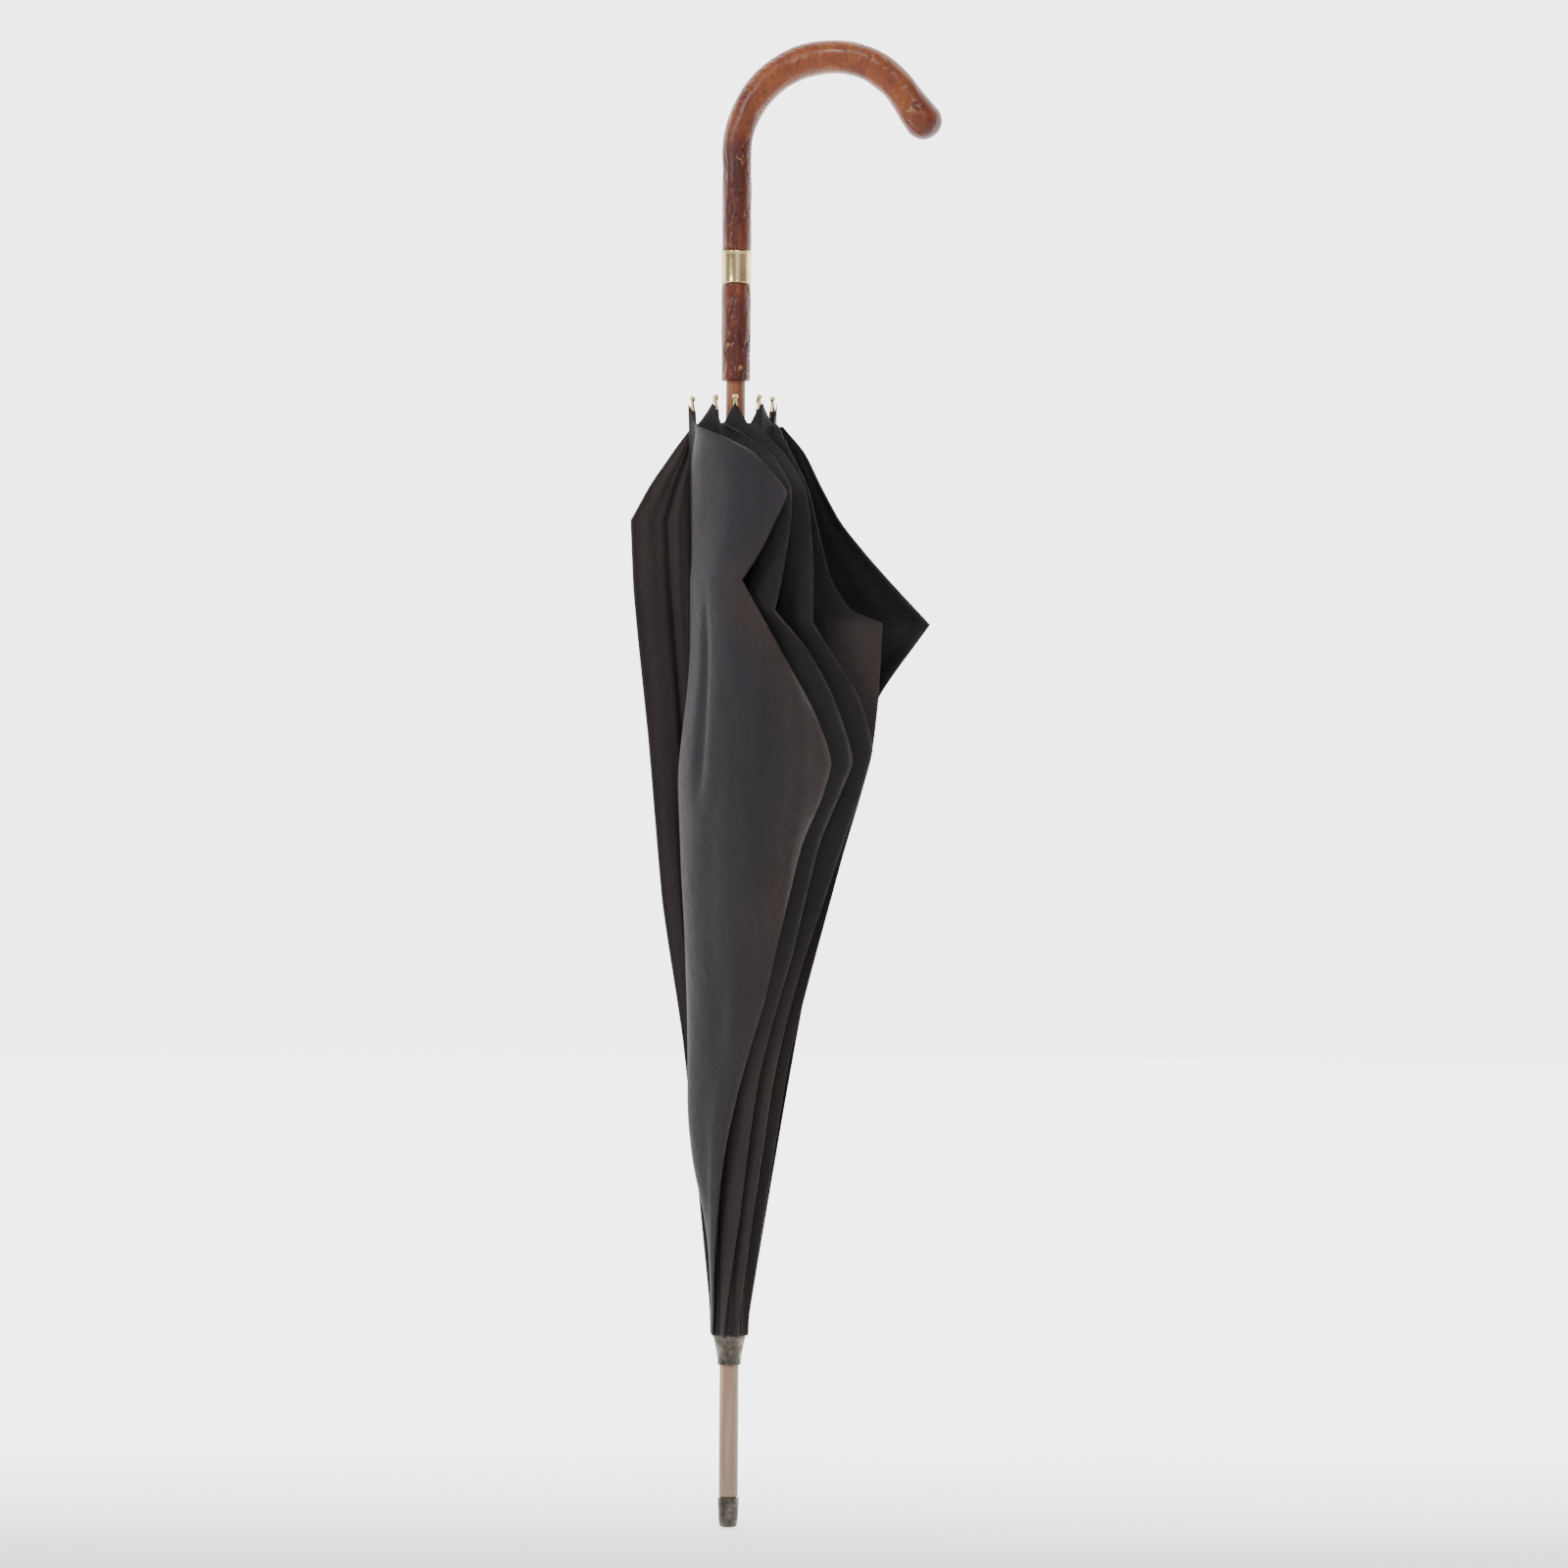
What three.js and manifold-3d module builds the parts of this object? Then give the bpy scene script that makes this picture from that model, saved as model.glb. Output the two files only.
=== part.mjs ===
// A gentleman's stick umbrella, closed but not furled, held by its crook with the ferrule down.
// Millimetres, +Z up. The origin is on the stick's axis, at the middle of the brass collar.
import * as THREE from 'three';
import { mergeVertices } from 'three/addons/utils/BufferGeometryUtils.js';
import Module from 'manifold-3d';

const wasm = await Module();
wasm.setup();

// ---- Driving dimensions: heights are measured up from the ferrule's tip ----
const COLLAR_MID = 777;
const RIB_COUNT = 8;
const STEP_DEG = 360 / RIB_COUNT;
const GAP = 0.3;

const STICK_RADIUS = 6.0;
const STICK_TOP = 786.5;
const SPIGOT = { radius: 3.5, top: 800 };

const FERRULE = { height: 18, topRadius: 6.6, tipRadius: 5.6, bore: 4.9, floor: 5 };
const CAP = { bottom: 100, top: 119, bottomRadius: 6.9, rimRadius: 10.2, bore: 6.3, cupRadius: 9.3 };
const ROSETTE = { bottom: 119.3, thickness: 1.0, inner: 6.3, outer: 10.6 };

const HINGE_Z = 127;
const HINGE_RADIUS = 7.7;
const NOTCH = { height: 8, outer: 8.8, bore: 6.3, slotWidth: 2.7, slotFloor: 6.45 };

const RIB_LENGTH = 571;
const RIB_RADIUS = 1.0;
const RIB_TIP_RADII = [23, 20, 17, 18, 26.6, 17, 17, 21];
const EYE = { radius: 1.25, hole: 0.7, width: 1.9 };
const TIP = { length: 14, socketRadius: 1.75, neckRadius: 0.8, ballRadius: 1.6, bore: 1.25, boreDepth: 6 };

const PIVOT_ALONG_RIB = 225;
const STRETCHER_LENGTH = 250;
const STRETCHER_RADIUS = 0.85;
const STRETCHER_SIDE = 2.4;
const RUNNER_PIVOT_RADIUS = 8.4;
const RUNNER_EYE = { radius: 1.5, hole: 0.8, width: 1.7 };
const RUNNER_PIVOT_Z = HINGE_Z + PIVOT_ALONG_RIB + STRETCHER_LENGTH;
const RUNNER = {
  below: 3, flangeTop: 4, top: 58, bore: 6.35, tube: 7.4, flange: 10.4,
  slotFloor: 6.8, slit: 3.6, slitFloor: 5,
};
const WIRE_RADIUS = 0.35;

const SPRING_AZIMUTH = 22.5;
const SPRING = { width: 2.0, length: 44, back: 4.6, face: 5.7, nose: 7.5, pocketFloor: 1.6, clear: 0.35 };
const TOP_SPRING_Z = HINGE_Z + 232;
const HAND_SPRING_Z = RUNNER_PIVOT_Z + RUNNER.top + 6;

const GRIP = { bottom: 707, top: 766.7, inner: 6.3, outer: 8.9 };
const COLLAR = { bottom: 767, top: 787, inner: 6.3, outer: 9.3, lip: 9.7, lipHeight: 1.6 };
// The crook runs straight up, through a quarter turn, on through a tighter bend and into a short tail.
const CROOK = { bottom: 787.3, bendZ: 847.8, riseRadius: 59.9, fallRadius: 51.6, fallSweep: 54, tail: 33.8 };
const CROOK_SKIN = { stick: 9.0, bend: 10.3, nose: 11.6, thickness: 1.3 };
const CROOK_SWELL = { bendLength: 70, noseLength: 30 };

const CANOPY = { bottom: 120.6, height: 574, skin: 0.6, fold: 1.1, clearOfRib: 2.7, rootProud: 1.2 };
const PLEAT_ROWS = [0.02, 0.1, 0.2, 0.3, 0.4, 0.5, 0.58, 0.62, 0.67, 0.72, 0.78, 0.84, 0.89, 0.93, 0.97];
const PLEAT_COLUMNS = 7;
const SEAM_ROWS = [0.02, 0.3, 0.6, 0.97];
const SEAM_SHARES = [0.62, 0.8, 0.98];

// Each loose pleat is the doubled cloth between two ribs. Its outer edge runs through stations of
// [height above the crown, distance from the axis, azimuth in degrees], from the crown to the hem.
const PLEATS = [
  [[0, 11, 20], [180, 40, 8], [300, 62, 4], [389, 88, 2], [437, 121, 2], [500, 65, 1], [543, 42, 8],
    [572, 26, 20]],
  [[0, 11, 65], [180, 36, 60], [352, 68, 55], [478, 80, 50], [520, 54, 54], [572, 24, 64]],
  [[0, 11, 112], [180, 34, 116], [352, 64, 120], [470, 78, 122], [520, 52, 118], [572, 22, 112]],
  [[0, 11, 160], [183, 30, 176], [267, 42, 179], [365, 51, 181], [500, 63, 181], [540, 42, 176],
    [572, 24, 160]],
  [[0, 11, 206], [170, 36, 295], [290, 63, 311], [352, 82, 315], [463, 60, 275], [515, 56, 300],
    [545, 44, 258], [572, 26, 210]],
  [[0, 11, 250], [170, 35, 313], [290, 67, 322], [352, 87, 325], [446, 61, 295], [520, 46, 305],
    [548, 34, 284], [572, 22, 252]],
  [[0, 11, 294], [170, 38, 330], [290, 70, 335], [352, 91, 337], [439, 66, 318], [520, 44, 322],
    [572, 22, 296]],
  [[0, 11, 338], [170, 38, 346], [290, 68, 347], [352, 90, 347], [440, 95, 349], [505, 56, 345],
    [545, 36, 342], [572, 24, 338]],
];

const PAINT = {
  stick: [0x8a6a4c, 0.55, 0.0],
  leather: [0x6a3018, 0.45, 0.0],
  brass: [0xb59a52, 0.3, 1.0],
  darkMetal: [0x4a453b, 0.5, 0.8],
  steel: [0x8d8f90, 0.35, 1.0],
  blackSteel: [0x2b2a2b, 0.45, 0.8],
  cloth: [0x1d1c1f, 0.85, 0.0],
};

// ---- Helpers ----
const rad = THREE.MathUtils.degToRad;
const lerp = THREE.MathUtils.lerp;

function material([color, roughness, metalness]) {
  return new THREE.MeshStandardMaterial({ color, roughness, metalness, side: THREE.DoubleSide });
}

function toSolid(geometry, matrix = new THREE.Matrix4()) {
  let clean = geometry.clone().applyMatrix4(matrix);
  clean.deleteAttribute('normal');
  clean.deleteAttribute('uv');
  clean = mergeVertices(clean, 1e-4);
  return new wasm.Manifold(new wasm.Mesh({
    numProp: 3,
    vertProperties: new Float32Array(clean.attributes.position.array),
    triVerts: new Uint32Array(clean.index.array),
  }));
}

function fromSolid(solid) {
  const mesh = solid.getMesh();
  const geometry = new THREE.BufferGeometry();
  geometry.setAttribute('position', new THREE.BufferAttribute(new Float32Array(mesh.vertProperties), 3));
  geometry.setIndex(new THREE.BufferAttribute(new Uint32Array(mesh.triVerts), 1));
  geometry.computeVertexNormals();
  return geometry;
}

// A lathe about Z: points are [radius, height] and the profile is closed on itself.
function turned(points, segments = 20) {
  const profile = points.map(([radius, height]) => new THREE.Vector2(radius, height));
  profile.push(profile[0].clone());
  return new THREE.LatheGeometry(profile, segments).rotateX(Math.PI / 2);
}

// A rod about Z between two heights, which closes on the axis.
function rod(radius, bottom, top, segments = 16) {
  const length = top - bottom;
  return new THREE.CylinderGeometry(radius, radius, length, segments)
    .rotateX(Math.PI / 2).translate(0, 0, bottom + length / 2);
}

function block(x, y, z, cx, cy, cz) {
  return new THREE.BoxGeometry(x, y, z).translate(cx, cy, cz);
}

// A disc whose axis lies along Y, used for hinge eyes and their holes.
function eyeDisc(radius, width, x, y, z, segments = 8) {
  return new THREE.CylinderGeometry(radius, radius, width, segments).translate(x, y, z);
}

function ringWire(radius, tube, z) {
  return new THREE.TorusGeometry(radius, tube, 4, 32).translate(0, 0, z);
}

function around(degrees) {
  return new THREE.Matrix4().makeRotationZ(rad(degrees));
}

const umbrella = new THREE.Group();
umbrella.position.z = -COLLAR_MID;

function add(name, geometry, paint, parent = umbrella) {
  const mesh = new THREE.Mesh(geometry, material(paint));
  mesh.name = name;
  parent.add(mesh);
  return mesh;
}

// ---- Stick, ferrule and crown ----
function springPocket(z) {
  const depth = STICK_RADIUS + 1 - SPRING.pocketFloor;
  const width = SPRING.width + 2 * SPRING.clear;
  const length = SPRING.length + 2 * SPRING.clear;
  return toSolid(block(depth, width, length, SPRING.pocketFloor + depth / 2, 0, z), around(SPRING_AZIMUTH));
}

function addStick() {
  const spigotBottom = FERRULE.floor + GAP;
  const shoulder = FERRULE.height + GAP;
  const profile = [
    [0, spigotBottom], [FERRULE.bore - GAP, spigotBottom], [FERRULE.bore - GAP, shoulder],
    [STICK_RADIUS, shoulder + 1], [STICK_RADIUS, STICK_TOP], [SPIGOT.radius, STICK_TOP],
    [SPIGOT.radius, SPIGOT.top], [0, SPIGOT.top],
  ].map(([radius, height]) => new THREE.Vector2(radius, height));
  let stick = toSolid(new THREE.LatheGeometry(profile, 20).rotateX(Math.PI / 2));
  stick = stick.subtract(springPocket(TOP_SPRING_Z)).subtract(springPocket(HAND_SPRING_Z));
  add('stick', fromSolid(stick), PAINT.stick);
}

function addFerrule() {
  const f = FERRULE;
  const profile = [
    [0, 0], [f.tipRadius - 1, 0], [f.tipRadius, 1.2], [f.topRadius, f.height],
    [f.bore, f.height], [f.bore, f.floor], [0, f.floor],
  ].map(([radius, height]) => new THREE.Vector2(radius, height));
  add('ferrule', new THREE.LatheGeometry(profile, 20).rotateX(Math.PI / 2), PAINT.darkMetal);
}

function addCrownCap() {
  const cupFloor = CAP.top - 6;
  add('crown_cap', turned([
    [CAP.bore, CAP.bottom], [CAP.bottomRadius, CAP.bottom], [CAP.bottomRadius + 0.3, CAP.bottom + 2],
    [CAP.bottomRadius + 1.6, CAP.top - 9], [CAP.rimRadius, CAP.top - 1], [CAP.rimRadius, CAP.top],
    [CAP.cupRadius, CAP.top], [CAP.bore, cupFloor],
  ]), PAINT.darkMetal);
  add('crown_rosette', turned([
    [ROSETTE.inner, ROSETTE.bottom], [ROSETTE.outer, ROSETTE.bottom],
    [ROSETTE.outer, ROSETTE.bottom + ROSETTE.thickness], [ROSETTE.inner, ROSETTE.bottom + ROSETTE.thickness],
  ]), PAINT.cloth);
}

function addNotch() {
  const n = NOTCH;
  const low = HINGE_Z - n.height / 2;
  const high = HINGE_Z + n.height / 2;
  let notch = toSolid(turned([[n.bore, low], [n.outer, low], [n.outer, high], [n.bore, high]], 32));
  const depth = n.outer + 1 - n.slotFloor;
  for (let k = 0; k < RIB_COUNT; k += 1) {
    const slot = block(depth, n.slotWidth, n.height + 2, n.slotFloor + depth / 2, 0, HINGE_Z);
    notch = notch.subtract(toSolid(slot, around(k * STEP_DEG)));
  }
  notch = notch.subtract(toSolid(ringWire(HINGE_RADIUS, WIRE_RADIUS + GAP, HINGE_Z)));
  add('top_notch', fromSolid(notch), PAINT.blackSteel);
  add('notch_wire', ringWire(HINGE_RADIUS, WIRE_RADIUS, HINGE_Z), PAINT.steel);
}

// ---- Frame: ribs, tips, stretchers and runner ----
function ribLean(k) {
  return Math.asin((RIB_TIP_RADII[k] - HINGE_RADIUS) / RIB_LENGTH);
}

function ribRadiusAt(k, z) {
  return HINGE_RADIUS + (z - HINGE_Z) * Math.tan(ribLean(k));
}

// One rib stands in its own radial plane and leans out by its angle about the hinge eye.
function addRib(k) {
  const arm = new THREE.Group();
  arm.rotation.z = rad(k * STEP_DEG);
  umbrella.add(arm);
  const tilt = new THREE.Group();
  tilt.position.set(HINGE_RADIUS, 0, HINGE_Z);
  tilt.rotation.y = ribLean(k);
  arm.add(tilt);

  const socketTop = RIB_LENGTH - TIP.length;
  let rib = toSolid(rod(RIB_RADIUS, EYE.hole + 0.1, socketTop + TIP.boreDepth - GAP, 6));
  rib = rib.add(toSolid(eyeDisc(EYE.radius, EYE.width, 0, 0, 0)));
  rib = rib.subtract(toSolid(eyeDisc(EYE.hole, EYE.width + 1, 0, 0, 0)));
  rib = rib.add(toSolid(eyeDisc(EYE.radius + 0.15, EYE.width, 0, 0, PIVOT_ALONG_RIB)));
  rib = rib.subtract(toSolid(eyeDisc(EYE.hole, EYE.width + 1, 0, 0, PIVOT_ALONG_RIB)));
  add(`rib_${k + 1}`, fromSolid(rib), PAINT.blackSteel, tilt);

  const ballCentre = RIB_LENGTH - TIP.ballRadius;
  const profile = [[TIP.bore, socketTop], [TIP.socketRadius, socketTop]];
  profile.push([TIP.socketRadius, socketTop + 5], [TIP.neckRadius, socketTop + 8.5]);
  for (let i = 1; i < 4; i += 1) {
    const turn = lerp(-60, 90, i / 4);
    profile.push([TIP.ballRadius * Math.cos(rad(turn)), ballCentre + TIP.ballRadius * Math.sin(rad(turn))]);
  }
  profile.push([0, RIB_LENGTH], [0, socketTop + TIP.boreDepth], [TIP.bore, socketTop + TIP.boreDepth]);
  add(`rib_tip_${k + 1}`, turned(profile, 8), PAINT.brass, tilt);
}

// A stretcher lies beside its rib, from the runner's wire down to the rib's pivot.
function addStretcher(k) {
  const lean = ribLean(k);
  const pivot = new THREE.Vector2(
    HINGE_RADIUS + PIVOT_ALONG_RIB * Math.sin(lean), HINGE_Z + PIVOT_ALONG_RIB * Math.cos(lean));
  const runner = new THREE.Vector2(RUNNER_PIVOT_RADIUS, RUNNER_PIVOT_Z);
  const length = runner.distanceTo(pivot);
  const arm = new THREE.Group();
  arm.rotation.z = rad(k * STEP_DEG);
  umbrella.add(arm);
  const tilt = new THREE.Group();
  tilt.position.set(runner.x, STRETCHER_SIDE, runner.y);
  tilt.rotation.y = Math.atan2(runner.x - pivot.x, runner.y - pivot.y);
  arm.add(tilt);

  let bar = toSolid(rod(STRETCHER_RADIUS, -length + 0.9, -0.9, 6));
  bar = bar.add(toSolid(eyeDisc(RUNNER_EYE.radius, RUNNER_EYE.width, 0, 0, 0)));
  bar = bar.add(toSolid(eyeDisc(RUNNER_EYE.radius, RUNNER_EYE.width, 0, 0, -length)));
  bar = bar.subtract(toSolid(eyeDisc(RUNNER_EYE.hole, RUNNER_EYE.width + 1, 0, 0, 0)));
  bar = bar.subtract(toSolid(eyeDisc(RUNNER_EYE.hole, RUNNER_EYE.width + 1, 0, 0, -length)));
  add(`stretcher_${k + 1}`, fromSolid(bar), PAINT.blackSteel, tilt);
}

function addRunner() {
  const r = RUNNER;
  const low = RUNNER_PIVOT_Z - r.below;
  const flangeTop = RUNNER_PIVOT_Z + r.flangeTop;
  const top = RUNNER_PIVOT_Z + r.top;
  let runner = toSolid(turned([
    [r.bore, low], [r.flange, low], [r.flange, flangeTop], [r.tube, flangeTop + 2],
    [r.tube, top - 3], [r.tube + 0.7, top - 2.4], [r.tube + 0.7, top], [r.bore, top],
  ], 32));
  const wireRadius = Math.hypot(RUNNER_PIVOT_RADIUS, STRETCHER_SIDE);
  const depth = r.flange + 1 - r.slotFloor;
  const slotWidth = RUNNER_EYE.width + 0.8;
  for (let k = 0; k < RIB_COUNT; k += 1) {
    const slot = block(depth, slotWidth, 12, r.slotFloor + depth / 2, STRETCHER_SIDE, RUNNER_PIVOT_Z - 2.2);
    runner = runner.subtract(toSolid(slot, around(k * STEP_DEG)));
  }
  runner = runner.subtract(toSolid(ringWire(wireRadius, WIRE_RADIUS + GAP, RUNNER_PIVOT_Z)));
  const slitDepth = r.flange + 1 - r.slitFloor;
  const slitMiddle = r.slitFloor + slitDepth / 2;
  const slit = block(slitDepth, r.slit, r.top + r.below + 4, slitMiddle, 0, (low + top) / 2);
  runner = runner.subtract(toSolid(slit, around(SPRING_AZIMUTH)));
  add('runner', fromSolid(runner), PAINT.blackSteel);
  add('runner_wire', ringWire(wireRadius, WIRE_RADIUS, RUNNER_PIVOT_Z), PAINT.steel);
}

// A leaf catch: a strip in the stick's pocket with a wedge nose that stands out of it.
function addSpring(name, z) {
  const s = SPRING;
  const half = s.length / 2;
  const side = new THREE.Shape([
    [s.back, -half], [s.face, -half], [s.face, -half + 12], [s.nose, 8], [s.nose, 12], [s.face, 12.5],
    [s.face, half], [s.back, half],
  ].map(([x, y]) => new THREE.Vector2(x, y)));
  const leaf = new THREE.ExtrudeGeometry(side, { depth: s.width, bevelEnabled: false });
  leaf.translate(0, 0, -s.width / 2).rotateX(Math.PI / 2);
  const holder = new THREE.Group();
  holder.rotation.z = rad(SPRING_AZIMUTH);
  holder.position.z = z;
  umbrella.add(holder);
  add(name, leaf, PAINT.steel, holder);
}

// ---- Handle ----
const CROOK_STRAIGHT = CROOK.bendZ - CROOK.bottom;
const CROOK_RISE = CROOK.riseRadius * Math.PI / 2;
const CROOK_FALL = CROOK.fallRadius * rad(CROOK.fallSweep);
const CROOK_LENGTH = CROOK_STRAIGHT + CROOK_RISE + CROOK_FALL + CROOK.tail;

// A point on the crook's centreline, and the direction away from the inside of the bend there.
function crookPoint(distance) {
  if (distance <= CROOK_STRAIGHT) {
    return { at: new THREE.Vector3(0, 0, CROOK.bottom + distance), out: new THREE.Vector3(-1, 0, 0) };
  }
  const pastBend = distance - CROOK_STRAIGHT;
  const rising = pastBend <= CROOK_RISE;
  const pastTop = Math.max(pastBend - CROOK_RISE, 0);
  const radius = rising ? CROOK.riseRadius : CROOK.fallRadius;
  const fallTurn = Math.min(pastTop / CROOK.fallRadius, rad(CROOK.fallSweep));
  const turn = rising ? pastBend / CROOK.riseRadius : Math.PI / 2 + fallTurn;
  const out = new THREE.Vector3(-Math.cos(turn), 0, Math.sin(turn));
  const ahead = new THREE.Vector3(Math.sin(turn), 0, Math.cos(turn));
  const centre = new THREE.Vector3(CROOK.riseRadius, 0, CROOK.bendZ + CROOK.riseRadius - radius);
  const at = centre.addScaledVector(out, radius).addScaledVector(ahead, Math.max(pastTop - CROOK_FALL, 0));
  return { at, out };
}

// The radius along the crook: wider from the bend on, then swelling into a rounded nose.
function crookRadius(distance, inset) {
  const { smoothstep } = THREE.MathUtils;
  const fromEnd = CROOK_LENGTH - distance;
  const toBend = smoothstep(distance, CROOK_STRAIGHT, CROOK_STRAIGHT + CROOK_SWELL.bendLength);
  const toNose = smoothstep(distance, CROOK_LENGTH - CROOK_SWELL.noseLength, CROOK_LENGTH - 8);
  const even = lerp(CROOK_SKIN.stick, CROOK_SKIN.bend, toBend);
  const full = lerp(even, CROOK_SKIN.nose, toNose) - inset;
  const round = Math.max(0, 1 - (Math.max(fromEnd - inset, 0)) / full);
  return full * Math.sqrt(Math.max(0, 1 - round * round));
}

function crookRing(distance, radius, sides) {
  const { at, out } = crookPoint(distance);
  const across = new THREE.Vector3(0, 1, 0);
  const ring = [];
  for (let i = 0; i < sides; i += 1) {
    const turn = (i / sides) * 2 * Math.PI;
    const point = at.clone().addScaledVector(out, radius * Math.cos(turn));
    ring.push(point.addScaledVector(across, radius * Math.sin(turn)));
  }
  return ring;
}

// Rings joined in order, with a point at each end, make one closed body.
function ringsToGeometry(first, rings, last) {
  const sides = rings[0].length;
  const points = [first, ...rings.flat(), last];
  const index = [];
  const at = (ring, i) => 1 + ring * sides + (i % sides);
  for (let i = 0; i < sides; i += 1) {
    index.push(0, at(0, i), at(0, i + 1));
    index.push(points.length - 1, at(rings.length - 1, i + 1), at(rings.length - 1, i));
    for (let ring = 0; ring + 1 < rings.length; ring += 1) {
      index.push(at(ring, i), at(ring + 1, i), at(ring + 1, i + 1));
      index.push(at(ring, i), at(ring + 1, i + 1), at(ring, i + 1));
    }
  }
  const geometry = new THREE.BufferGeometry().setFromPoints(points);
  geometry.setIndex(index);
  geometry.computeVertexNormals();
  return geometry;
}

function crookStations(inset) {
  const nose = CROOK_LENGTH - CROOK_SKIN.nose;
  const list = [0, CROOK_STRAIGHT / 2];
  const bends = 18;
  for (let i = 0; i <= bends; i += 1) {
    list.push(lerp(CROOK_STRAIGHT, nose, i / bends));
  }
  for (const share of [0.35, 0.62, 0.82, 0.94]) {
    list.push(lerp(nose, CROOK_LENGTH - inset, share));
  }
  return list;
}

function crookSolid(inset, sides) {
  const stations = crookStations(inset);
  const rings = stations.map((distance) => crookRing(distance, crookRadius(distance, inset), sides));
  return toSolid(ringsToGeometry(crookPoint(0).at, rings, crookPoint(CROOK_LENGTH - inset).at));
}

function addHandle() {
  add('grip_leather', turned([
    [GRIP.inner, GRIP.bottom], [GRIP.outer - 0.5, GRIP.bottom], [GRIP.outer, GRIP.bottom + 1],
    [GRIP.outer, GRIP.top], [GRIP.inner, GRIP.top],
  ], 24), PAINT.leather);
  const c = COLLAR;
  add('collar_band', turned([
    [c.inner, c.bottom], [c.lip, c.bottom], [c.lip, c.bottom + c.lipHeight],
    [c.outer, c.bottom + c.lipHeight + 0.4], [c.outer, c.top - c.lipHeight - 0.4],
    [c.lip, c.top - c.lipHeight], [c.lip, c.top], [c.inner, c.top],
  ]), PAINT.brass);
  const core = crookSolid(CROOK_SKIN.thickness + GAP, 12);
  const bore = toSolid(rod(SPIGOT.radius + GAP, CROOK.bottom - 5, SPIGOT.top + GAP));
  add('crook_core', fromSolid(core.subtract(bore)), PAINT.stick);
  const hollow = crookSolid(CROOK_SKIN.thickness, 12);
  const mouthRadius = CROOK_SKIN.stick - CROOK_SKIN.thickness - 0.05;
  const mouth = toSolid(rod(mouthRadius, CROOK.bottom - 5, CROOK.bottom + 2, 12));
  add('crook_leather', fromSolid(crookSolid(0, 16).subtract(hollow.add(mouth))), PAINT.leather);
}

// ---- Canopy ----
// Stations are joined by straight lines.
function stationAt(stations, height) {
  let i = 0;
  while (i + 2 < stations.length && height > stations[i + 1][0]) {
    i += 1;
  }
  const [low, high] = [stations[i], stations[i + 1]];
  const share = THREE.MathUtils.clamp((height - low[0]) / (high[0] - low[0]), 0, 1);
  return { radius: lerp(low[1], high[1], share), azimuth: lerp(low[2], high[2], share) };
}

function polar(radius, degrees, z) {
  return new THREE.Vector3(radius * Math.cos(rad(degrees)), radius * Math.sin(rad(degrees)), z);
}

// The cloth over two neighbouring ribs: radius at a share of the way from rib k to rib k+1.
function clothRadius(k, share, z) {
  const next = (k + 1) % RIB_COUNT;
  return lerp(ribRadiusAt(k, z), ribRadiusAt(next, z), share) + CANOPY.clearOfRib;
}

// A sheet from rows of points, thickened to both sides in plan.
function thickSheet(rows, thickness) {
  const sides = [1, -1].map((side) => rows.map((row) => row.map((point, i) => {
    const before = row[Math.max(i - 1, 0)];
    const after = row[Math.min(i + 1, row.length - 1)];
    const along = after.clone().sub(before).setZ(0).normalize();
    const normal = new THREE.Vector3(along.y, -along.x, 0);
    return point.clone().addScaledVector(normal, side * thickness / 2);
  })));
  const rings = rows.map((row, r) => [...sides[0][r], ...sides[1][r].toReversed()]);
  const count = rings[0].length;
  const points = rings.flat();
  const index = [];
  const width = count / 2;
  for (let r = 0; r + 1 < rings.length; r += 1) {
    for (let i = 0; i < count; i += 1) {
      const [a, b] = [r * count + i, r * count + ((i + 1) % count)];
      index.push(a, b, b + count, a, b + count, a + count);
    }
  }
  const topRow = (rings.length - 1) * count;
  for (let i = 0; i + 1 < width; i += 1) {
    const far = count - 1 - i;
    index.push(i, far, far - 1, i, far - 1, i + 1);
    index.push(topRow + i, topRow + far - 1, topRow + far, topRow + i, topRow + i + 1, topRow + far - 1);
  }
  const geometry = new THREE.BufferGeometry().setFromPoints(points);
  geometry.setIndex(index);
  geometry.computeVertexNormals();
  return geometry;
}

function addPleat(k) {
  const middle = (k + 0.5) * STEP_DEG;
  const rows = [];
  for (const share of PLEAT_ROWS) {
    const height = share * CANOPY.height;
    const z = CANOPY.bottom + height;
    const edge = stationAt(PLEATS[k], height);
    const root = clothRadius(k, 0.5, z) + CANOPY.rootProud;
    const row = [];
    for (let i = 0; i <= PLEAT_COLUMNS; i += 1) {
      const s = i / PLEAT_COLUMNS;
      row.push(polar(lerp(root, Math.max(edge.radius, root + 2), s), lerp(middle, edge.azimuth, s), z));
    }
    rows.push(row);
  }
  add(`pleat_${k + 1}`, thickSheet(rows, CANOPY.fold), PAINT.cloth);
}

// The cloth between a pleat and the rib after it.
function addSeam(k) {
  const rows = [];
  for (const share of SEAM_ROWS) {
    const z = CANOPY.bottom + share * CANOPY.height;
    const row = [];
    for (const part of SEAM_SHARES) {
      row.push(polar(clothRadius(k, part, z), (k + part) * STEP_DEG, z));
    }
    rows.push(row);
  }
  add(`seam_${k + 1}`, thickSheet(rows, CANOPY.skin), PAINT.cloth);
}

addStick();
addFerrule();
addCrownCap();
addNotch();
addRunner();
addSpring('top_spring', TOP_SPRING_Z);
addSpring('hand_spring', HAND_SPRING_Z);
addHandle();
for (let k = 0; k < RIB_COUNT; k += 1) {
  addRib(k);
  addStretcher(k);
  addPleat(k);
  addSeam(k);
}

export default umbrella;
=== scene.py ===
import math

import bpy
from mathutils import Matrix, Vector, noise


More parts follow.
